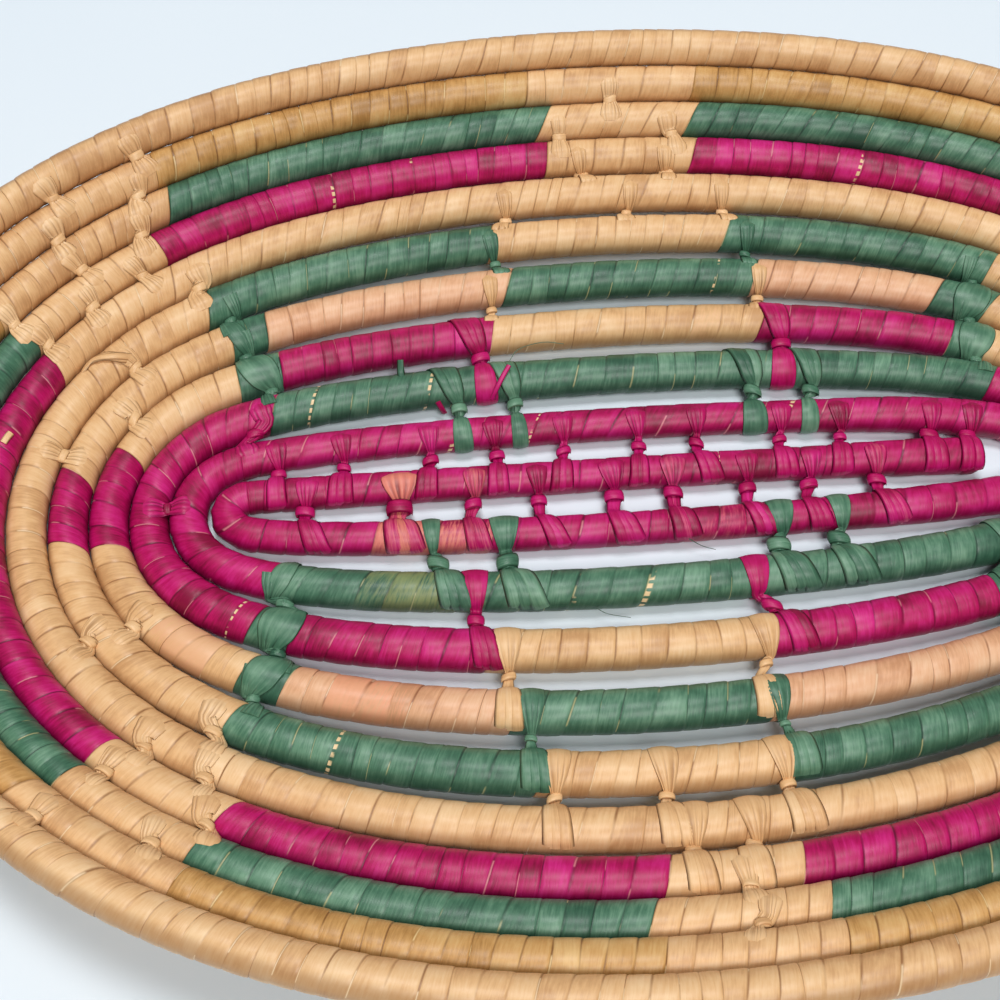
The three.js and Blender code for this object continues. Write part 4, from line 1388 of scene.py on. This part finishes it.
@dataclass
class Stitching:
    """Pleats, straps and knots that hold each row to the next."""

    coil: Coil
    wrapping: Wrapping
    hand: Hand = Hand()
    thickness: float = 0.3
    fan_folds: float = 4.0
    feet: int = 3
    foot_starts: tuple[float, float] = (-0.2, 0.8)
    foot_start_size: tuple[float, float] = (0.8, 1.8)
    foot_spread: float = 0.95
    foot_layer: float = 0.07
    foot_half: float = 0.5
    foot_drift: float = 0.3
    neck_shifts: tuple[float, float] = (-0.6, 0.4)
    neck_size: tuple[float, float, float] = (1.6, 1.7, 0.12)
    ring_half: float = 1.9
    ring_height: float = 1.1
    ring_band: tuple[float, float] = (1.15, 1.3)
    ring_from: float = -1.0
    ring_turns: float = 1.7
    ring_steps: int = 15
    ring_drift: float = 0.8
    ring_growth: float = 0.09
    ring_fade: float = 0.3
    middle_tie: tuple[float, float] = (0.16, 0.36)
    middle_size: tuple[float, float] = (0.42, 0.21)
    middle_shade: float = 0.05
    middle_drift: float = -1.8
    strap_tie: tuple[float, float] = (0.16, 0.4)
    strap_size: tuple[float, float] = (0.7, 0.1)
    strap_shade: float = 0.03
    strap_neck: tuple[float, float] = (-1.0, 0.3)
    strap_foot: tuple[float, float, float] = (1.6, 172, 2.0)
    pad_rise: float = 0.66
    pad_half: float = 2.7
    pad_middle: tuple[float, float, float, float] = (0.1, 1.6, 1.0, 0.15)
    pad_folds: float = 5.0
    pad_ring: tuple[float, float] = (0.74, 0.85)
    chain_rise: float = 0.3
    chain_half: float = 2.3
    chain_folds: float = 4.0
    chain_ring: tuple[float, float] = (0.82, 0.8)
    link_folds: float = 3.4
    strips: dict[str, list[Strip]] = field(default_factory=lambda: defaultdict(list))
    seed: int = 23

    def __post_init__(self) -> None:
        """Starts the stitching's own random numbers."""
        self.random = np.random.default_rng(self.seed)

    def about(self, spread: tuple[float, float]) -> float:
        """A random number with a mean and a spread."""
        return float(self.random.normal(*spread))

    def within(self, limits: tuple[float, float]) -> float:
        """A random number between two limits."""
        return float(self.random.uniform(*limits))

    def spot(self, station: float, towards: int) -> Spot:
        """The coil's section at a station.

        Args:
            station: The station.
            towards: 1 to face out, -1 to face in.

        Returns:
            The section.
        """
        length = float(self.coil.length_at(station))
        centre, across, up, radius = self.coil.frame(np.array([length - 0.5, length, length + 0.5]))
        along = unit(centre[2] - centre[0])
        return Spot(centre[1], across[1] * towards, up[1], along, float(radius[1]))

    def path(self, owner: str, keys: list[Key], samples: int = 4, folds: float = 0.0, fade: float = 0.0,
             shade: float = 0.0) -> None:
        """Adds a strip through key points.

        Args:
            owner: The node that it belongs to.
            keys: The strip's keys.
            samples: Points in each span.
            folds: How many pleats it lies in; 0 for a flat strip.
            fade: How much its dye has faded.
            shade: How much lighter or darker it is.
        """
        rows = np.array([np.concatenate([point, normal, rest]) for point, normal, *rest in keys])
        rows = curve_through(rows, samples)
        half, thick, pleat = (np.maximum(rows[:, i], least) for i, least in ((6, 0.1), (7, 0.06), (8, 0)))
        self.strips[owner].append(Strip(rows[:, :3], unit(rows[:, 3:6]), half, thick, pleat, folds, fade, shade))

    def over(self, spot: Spot, profile: Profile, half: float, far: float = 0.0) -> list[Key]:
        """Keys of a sheet over a row.

        Args:
            spot: The row's section.
            profile: Rows of degrees, share of the half width, lift and depth of the pleats.
            half: The sheet's greatest half width.
            far: How far along the row its far end lies.

        Returns:
            The keys, in the profile's order.
        """
        most = max(abs(row[0]) for row in profile)
        keys = []
        for degrees, share, rise, pleat in profile:
            point, normal = spot.at(degrees, far * (abs(degrees) / most), rise)
            keys.append((point, normal, share * half, self.thickness, pleat))
        return keys

    def neck(self, knot: Knot) -> list[Key]:
        """Keys of the bunched leaf inside a knot."""
        tie, size = knot.tie, knot.size
        half, thick, pleat = self.neck_size
        return [(tie.centre + tie.across * shift * size, tie.up, half * size, thick * size, pleat)
                for shift in self.neck_shifts]

    def fan(self, knot: Knot, profile: Profile, half: float) -> None:
        """A sheet that lies over row a and is drawn in pleats into the knot.

        Args:
            knot: The knot.
            profile: How the sheet lies.
            half: Its greatest half width.
        """
        keys = self.over(knot.tie.a, profile, half, self.about(self.hand.fan_drift)) + self.neck(knot)
        folds = self.fan_folds + self.within(self.hand.fan_folds)
        self.path(knot.owner, keys, folds=folds, fade=knot.fade, shade=knot.shade + self.about(self.hand.fan_shade))

    def splay(self, knot: Knot, row: Spot, half: float, reach: float, drift: float) -> None:
        """Feet: strips that come out of the knot and splay over a row.

        Args:
            knot: The knot.
            row: The row of its tie that they lie on.
            half: The half width of one.
            reach: Degrees from the knot to their ends.
            drift: How far along the row they go in 100 degrees, in mm.
        """
        tie, size = knot.tie, knot.size
        way = 1 if row is tie.b else -1
        start_half, start_thick = self.foot_start_size
        for number in range(self.feet):
            side = number - (self.feet - 1) / 2
            spread = side * half * self.foot_spread + self.about(self.hand.foot_drift)
            keys = []
            for shift in self.foot_starts:
                point = tie.centre + tie.across * way * shift * size + tie.along * side * start_half * size
                keys.append((point, tie.up, start_half * size, self.thickness * start_thick, 0.0))
            for degrees, wide, rise, share in FOOT:
                offset = spread * share + drift * degrees / 100
                point, normal = row.at(degrees * reach / FOOT_REACH, offset, rise + self.foot_layer * number)
                keys.append((point, normal, wide * half, self.thickness, 0.0))
            fade = knot.fade * self.within(self.hand.foot_fading)
            self.path(knot.owner, keys, fade=fade, shade=self.about(self.hand.foot_shade))

    def under(self, knot: Knot) -> None:
        """The leaf on the underside, from one row to the other."""
        keys = self.over(knot.tie.a, UNDERSIDE[::-1], knot.size) + self.over(knot.tie.b, UNDERSIDE, knot.size)
        self.path(knot.owner, keys, 3)

    def ring(self, knot: Knot, scale: float = 1.0, flat: float = 1.0) -> None:
        """A strip wound tight round the neck.

        Args:
            knot: The knot.
            scale: Its size against the knot's.
            flat: Its height against the usual one.
        """
        tie, size = knot.tie, scale * knot.size
        half = self.ring_half * size * self.within(self.hand.ring_width)
        high = self.ring_height * size * flat
        skew = self.about(self.hand.ring_skew) * size
        band, thick = self.ring_band
        keys = []
        for i in range(self.ring_steps + 1):
            angle = 2 * math.pi * self.ring_turns * i / self.ring_steps + self.ring_from
            normal = tie.along * math.cos(angle) + tie.up * math.sin(angle)
            drift = (i / self.ring_steps - 0.5) * self.ring_drift * size + skew * math.cos(angle)
            grow = 1 + self.ring_growth * i / self.ring_steps
            point = tie.centre + tie.along * math.cos(angle) * half * grow + tie.up * math.sin(angle) * high * grow
            keys.append((point + tie.across * drift, normal, band * size, self.thickness * thick, 0.0))
        self.path(knot.owner, keys, 2, fade=knot.fade * self.ring_fade, shade=self.about(self.hand.ring_shade))

    def open_stitch(self, knot: Knot, profile: Profile, half: float, reach: float, drift: float) -> None:
        """A fan from row a, a knot in the gap and feet on row b.

        Args:
            knot: The knot.
            profile: How the fan lies.
            half: Its greatest half width.
            reach: Degrees from the knot to the ends of the feet.
            drift: How far along the row the feet go in 100 degrees, in mm.
        """
        self.fan(knot, profile, half)
        self.splay(knot, knot.tie.b, self.foot_half * half, reach, drift + self.about(self.hand.open_drift))
        self.under(knot)
        self.ring(knot)

    def strap(self, knot: Knot, half: float) -> None:
        """A smooth strip right over row b, a knot, and strips that slant into row a.

        Args:
            knot: The knot.
            half: The strip's greatest half width.
        """
        tie, size = knot.tie, knot.size
        keys = [(point + tie.across * shift * size, *rest)
                for (point, *rest), shift in zip(self.neck(knot), self.strap_neck)]
        keys += self.over(tie.b, LAP, half, self.about(self.hand.strap_drift))
        self.path(knot.owner, keys, folds=self.within(self.hand.strap_folds), shade=self.strap_shade)
        foot_half, reach, drift = self.strap_foot
        self.splay(knot, tie.a, foot_half * size, reach, drift * size)
        self.under(knot)
        self.ring(knot)

    def pad(self, knot: Knot) -> None:
        """A knot in the groove between two rows that touch, with wrinkled leaf on both."""
        tie, hand = knot.tie, self.hand
        half = self.pad_half * knot.size * self.within(hand.pad_width)
        drift = self.about(hand.pad_drift)
        rise, middle_half, thick, pleat = self.pad_middle
        keys = self.over(tie.a, PAD, half, drift)
        keys.append((tie.centre + tie.up * rise, tie.up, middle_half * knot.size, thick, pleat))
        keys += self.over(tie.b, PAD, half * self.within(hand.pad_far_width), -drift)[::-1]
        folds = self.pad_folds + self.within(hand.pad_folds)
        self.path(knot.owner, keys, 3, folds, shade=self.about(hand.pad_shade))
        scale, flat = self.pad_ring
        self.ring(knot, scale * self.within(hand.pad_ring_width), flat)

    def link(self, owner: str, inner: float, outer: float, half: float) -> None:
        """A wide strap over one row, between the knots on its two sides.

        Args:
            owner: The node that it belongs to.
            inner: The station on the row's inner side.
            outer: The station on its outer side.
            half: The strap's greatest half width.
        """
        keys = []
        for degrees, share, rise, pleat in LINK:
            row = self.spot(inner + (outer - inner) * min(max(degrees, 0), 180) / 180, -1)
            point, normal = row.at(degrees, 0.0, rise)
            keys.append((point, normal, share * half, self.thickness, pleat))
        self.path(owner, keys, folds=self.link_folds, shade=self.about(self.hand.link_shade))

    def sew(self) -> None:
        """Makes every stitch of the basket."""
        turn, owner = self.coil.turn, self.wrapping.owner
        for inner_turn, kind, size, places in OPEN_STITCHES:
            sewing = SEWING[kind]
            for inner, outer in places:
                near, far = inner_turn * turn + inner, (inner_turn + 1) * turn + outer
                rows = (self.spot(near, 1), self.spot(far, -1))
                if kind is not Sewn.OUTWARDS:
                    rows = rows[::-1]
                grown = size * self.within(self.hand.open_width)
                knot = Knot(owner(near), Tie.between(*rows, sewing.rise, sewing.share), grown)
                self.open_stitch(knot, sewing.fan, sewing.half, sewing.reach, self.foot_drift)
        least, growth = self.middle_size
        for (upper, lower), fade, half in MIDDLE_STITCHES:
            tie = Tie.between(self.spot(upper, -1), self.spot(lower, -1), *self.middle_tie)
            knot = Knot("middle_wrap", tie, least + growth * half, fade, self.middle_shade)
            self.open_stitch(knot, CREST_FAN, half, FOOT_REACH, self.middle_drift)
        least, growth = self.strap_size
        for held_turn, size, places in STRAPS:
            for lap, place, half in places:
                far = (held_turn + 1) * turn + place
                tie = Tie.between(self.spot(far, -1), self.spot(held_turn * turn + lap, 1), *self.strap_tie)
                self.strap(Knot(owner(far), tie, size * (least + growth * half)), half)
        for inner_turn, places in CHAIN_KNOTS:
            for inner, outer, name, size in places:
                near, far = inner_turn * turn + inner, (inner_turn + 1) * turn + outer
                knot = Knot(name, Tie.between(self.spot(near, 1), self.spot(far, -1), self.chain_rise), size)
                self.ring(knot, *self.chain_ring)
                near_side, far_side = (self.over(row, SHORT_FAN, self.chain_half * size)[1:]
                                       for row in (knot.tie.a, knot.tie.b))
                self.path(name, near_side + self.neck(knot) + far_side[::-1], folds=self.chain_folds)
                self.under(knot)
        for name, row, inner, outer, half in CHAIN_LINKS:
            self.link(name, row * turn + inner, row * turn + outer, half)
        for inner_turn, places in PADS:
            for place in places:
                near = inner_turn * turn + place
                if near + turn <= self.coil.last - 1:
                    tie = Tie.between(self.spot(near, 1), self.spot(near + turn, -1), self.pad_rise)
                    self.pad(Knot(owner(near), tie, 1.0))
        for name, half, shade, keys in TRIMMINGS:
            rows = []
            for row, place, degrees, lift in keys:
                point, normal = self.spot(row * turn + place, -1).at(degrees, 0.0, lift)
                rows.append((point, normal, half, min(self.thickness, half), 0.0))
            self.path(name, rows, shade=shade)


def line_mesh(name: str, lines: Lines) -> bpy.types.Mesh:
    """A mesh of lines of points whose arrays become its attributes.

    Args:
        name: The mesh's name.
        lines: For each line, its arrays by name; "middle" holds the places, in metres.

    Returns:
        The mesh.
    """
    mesh = bpy.data.meshes.new(name)
    counts = [len(line["middle"]) for line in lines]
    starts = np.concatenate([[0], np.cumsum(counts)])
    edges = np.concatenate([np.stack([np.arange(start, start + count - 1), np.arange(start + 1, start + count)], -1)
                            for start, count in zip(starts, counts)])
    mesh.vertices.add(int(starts[-1]))
    mesh.edges.add(len(edges))
    mesh.vertices.foreach_set("co", np.concatenate([line["middle"] for line in lines]).astype(np.float32).ravel())
    mesh.edges.foreach_set("vertices", edges.astype(np.int32).ravel())
    for key in lines[0]:
        data = np.concatenate([line[key] for line in lines]).astype(np.float32)
        vector = data.ndim == 2
        attribute = mesh.attributes.new(key, "FLOAT_VECTOR" if vector else "FLOAT", "POINT")
        attribute.data.foreach_set("vector" if vector else "value", data.ravel())
    return mesh


def strip_line(strip: Strip, number: int, apart: float = 7.3) -> dict[str, np.ndarray]:
    """What the points of one loose strip know.

    Args:
        strip: The strip.
        number: Its number among the strips of its node.
        apart: How far the streaks of one strip lie from those of the next, in mm.

    Returns:
        The line's arrays by name.
    """
    points = strip.points
    tangent = unit(np.gradient(points, axis=0))
    side = unit(np.cross(tangent, strip.normals))
    out = unit(np.cross(side, tangent))
    reach = np.concatenate([[0], np.cumsum(np.linalg.norm(np.diff(points, axis=0), axis=1))])
    count = len(points)
    return {
        "middle": points * MM, "side": side, "out": out, "half_width": strip.half_width * MM,
        "half_thickness": strip.thickness * MM / 2, "pleat": strip.pleat * MM, "folds": np.full(count, strip.folds),
        "reach": reach + number * apart, "wound": np.full(count, float(number)),
        "look": np.tile([strip.fade, strip.shade, 0.0], (count, 1)),
    }


def core_line(coil: Coil, room: float = 1.2, least: float = 0.3, every: float = 2.5) -> dict[str, np.ndarray]:
    """The bundle's own line inside the wrap.

    Args:
        coil: The coil that it fills.
        room: A leaf's thickness and some air, all round and at the ends, in mm.
        least: Its least radius, in mm.
        every: About how far apart the points are, in mm.

    Returns:
        The line's arrays by name.
    """
    whole = coil.table["length"][-1]
    length = np.linspace(room, whole - room, int(whole / every))
    centre, across, up, radius = coil.frame(length)
    return {"middle": centre * MM, "side": across, "out": up, "half_width": np.maximum(radius - room, least) * MM}


def turn_outwards(mesh: bpy.types.Mesh, open_ends: bool) -> None:
    """Turns the faces of a piece outwards.

    Args:
        mesh: The piece.
        open_ends: Whether its ends are open and are filled first.
    """
    bm = bmesh.new()
    bm.from_mesh(mesh)
    if open_ends:
        bmesh.ops.dissolve_degenerate(bm, dist=1e-7, edges=bm.edges)
        holes = [edge for edge in bm.edges if edge.is_boundary]
        filled = bmesh.ops.holes_fill(bm, edges=holes, sides=0)["faces"]
        bmesh.ops.triangulate(bm, faces=filled)
    bmesh.ops.recalc_face_normals(bm, faces=bm.faces)
    bm.to_mesh(mesh)
    bm.free()


def show(name: str, data: bpy.types.ID) -> bpy.types.Object:
    """Puts a mesh, a lamp or the camera in the scene."""
    shown = bpy.data.objects.new(name, data)
    bpy.context.scene.collection.objects.link(shown)
    return shown


@dataclass
class Basket:
    """The tray: the wound coil, its stitches and its core."""

    coil: Coil = field(default_factory=Coil)

    def build(self) -> None:
        """Makes the bundle and every piece of leaf."""
        wrapping = Wrapping(self.coil)
        stitching = Stitching(self.coil, wrapping)
        stitching.sew()
        finishes = {dye.leaf: LeafFinish(dye).material for dye in DYES}
        wound, loose = wound_strip_tree(), loose_strip_tree()
        windings: dict[str, Lines] = defaultdict(list)
        leaves: dict[str, Leaf] = {}
        for node, leaf, begin, end in wrapping.runs:
            windings[node].append(wrapping.rails(begin, end))
            leaves[node] = leaf
        for node, lines in windings.items():
            leaf = leaves[node]
            self.dress(f"{node}_leaf", node, wound, lines, finishes[leaf], open_ends=True)
        for node, strips in stitching.strips.items():
            leaf = leaves[node]
            lines = [strip_line(strip, number) for number, strip in enumerate(strips)]
            self.dress(f"{node}_stitches", node, loose, lines, finishes[leaf])
        grass = speckled("core_grass", scale=900.0, detail=3.0, low=(0.16, 0.09, 0.03), high=(0.55, 0.38, 0.17),
                         roughness=0.85)
        self.dress("core_bundle", "core_coil", bundle_tree(), [core_line(self.coil)], grass)

    def dress(self, name: str, node: str, tree: Tree, lines: Lines,
              material: bpy.types.Material, open_ends: bool = False) -> None:
        """Makes one piece, hangs it on what it rides on, gives it its finish, and hides the CAD node that it stands
        for.

        Args:
            name: The piece's name.
            node: The CAD node that it stands for.
            tree: The Geometry Nodes tree that makes it.
            lines: The lines of points that the tree starts from.
            material: Its finish.
            open_ends: Whether the tree leaves its ends open.
        """
        mesh = tree.bake(line_mesh(node, lines), name, Material=material)
        turn_outwards(mesh, open_ends)
        piece = show(name, mesh)
        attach(piece, "root")
        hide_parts(node)
        log.info("%s: %d faces", piece.name, len(piece.data.polygons))


@dataclass(frozen=True)
class Studio:
    """The floor, the light and the camera."""

    focal_px: float = 1492.0
    frame_px: float = 1000.0
    distance: float = 340.71
    target: tuple[float, float, float] = (-31.11, -4.674, 3.8)
    elevation: float = math.radians(57.277)
    azimuth: float = math.radians(6.467)
    roll: float = math.radians(1.169)
    floor_half: float = 1.7
    floor_drop: float = 2e-4
    fill_colour: Colour = (0.86, 0.92, 1.0)
    fill_strength: float = 0.15
    wall_colour: Colour = (0.80, 0.87, 0.93)
    wall_strength: float = 0.9

    def floor(self) -> None:
        """A plain pale table top under the basket."""
        mesh = bpy.data.meshes.new("floor")
        half, z = self.floor_half, -self.floor_drop
        corners = [(-half, -half, z), (half, -half, z), (half, half, z), (-half, half, z)]
        mesh.from_pydata(corners, [], [(0, 1, 2, 3)])
        paint = speckled("floor_paint", scale=6.0, detail=2.0, low=(0.76, 0.85, 0.92), high=(0.80, 0.88, 0.94),
                         roughness=0.6)
        mesh.materials.append(paint)
        floor = show("floor", mesh)

    def lamp(self, name: str, place: tuple[float, float, float], size: float, watts: float, colour: Colour) -> None:
        """A square soft light that faces the basket.

        Args:
            name: The lamp's name.
            place: Where it stands, in metres.
            size: Its side, in metres.
            watts: Its power.
            colour: Its colour.
        """
        data = bpy.data.lights.new(name, "AREA")
        data.size = size
        data.energy = watts
        data.color = colour
        lamp = show(name, data)
        lamp.location = place
        lamp.rotation_euler = (Vector((0, 0, 0)) - Vector(place)).to_track_quat("-Z", "Y").to_euler()

    def lights(self) -> None:
        """Soft light, the strongest from above, a pale wall far behind that lights nothing, and plain colours."""
        self.lamp("window_light", (-0.4, 1.6, 2.0), size=1.2, watts=4.0, colour=(1.0, 0.98, 0.95))
        self.lamp("overhead_light", (0.0, 0.3, 2.5), size=0.8, watts=31.0, colour=(0.99, 0.99, 1.0))
        self.lamp("front_light", (0.22, -1.4, 2.15), size=0.9, watts=34.0, colour=(1.0, 0.98, 0.96))
        world = bpy.data.worlds.new("studio")
        world.use_nodes = True
        tree = Tree(world.node_tree)
        fill = tree.group.nodes["Background"]
        fill.inputs[0].default_value = (*self.fill_colour, 1)
        fill.inputs[1].default_value = self.fill_strength
        wall = tree.made("ShaderNodeBackground", {0: (*self.wall_colour, 1), 1: self.wall_strength})
        seen = tree.add("ShaderNodeLightPath").outputs["Is Camera Ray"]
        both = tree.made("ShaderNodeMixShader", {0: seen, 1: fill.outputs[0], 2: wall})
        tree.feed(tree.group.nodes["World Output"].inputs[0], both)
        bpy.context.scene.world = world
        bpy.context.scene.view_settings.view_transform = "Standard"

    def camera(self) -> None:
        """The camera at the photograph's angle."""
        data = bpy.data.cameras.new("camera")
        data.sensor_width = 36.0
        data.lens = self.focal_px * data.sensor_width / self.frame_px
        data.clip_start = 0.01
        back = Vector((-math.sin(self.azimuth) * math.cos(self.elevation),
                       -math.cos(self.azimuth) * math.cos(self.elevation), math.sin(self.elevation)))
        level = (-back).cross(Vector((0, 0, 1))).normalized()
        up = level.cross(-back)
        c, s = math.cos(self.roll), math.sin(self.roll)
        right, upright = c * level + s * up, c * up - s * level
        place = (Vector(self.target) + self.distance * back) * MM
        turned = Matrix((right, upright, back)).transposed().to_4x4()
        camera = show("camera", data)
        camera.matrix_world = Matrix.Translation(place) @ turned
        bpy.context.scene.camera = camera


def main() -> None:
    """Builds the dressed basket and its studio."""
    logging.basicConfig(level=logging.INFO, format="%(name)s: %(message)s")
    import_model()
    Basket().build()
    studio = Studio()
    studio.floor()
    studio.lights()
    studio.camera()


if __name__ == "__main__":
    main()
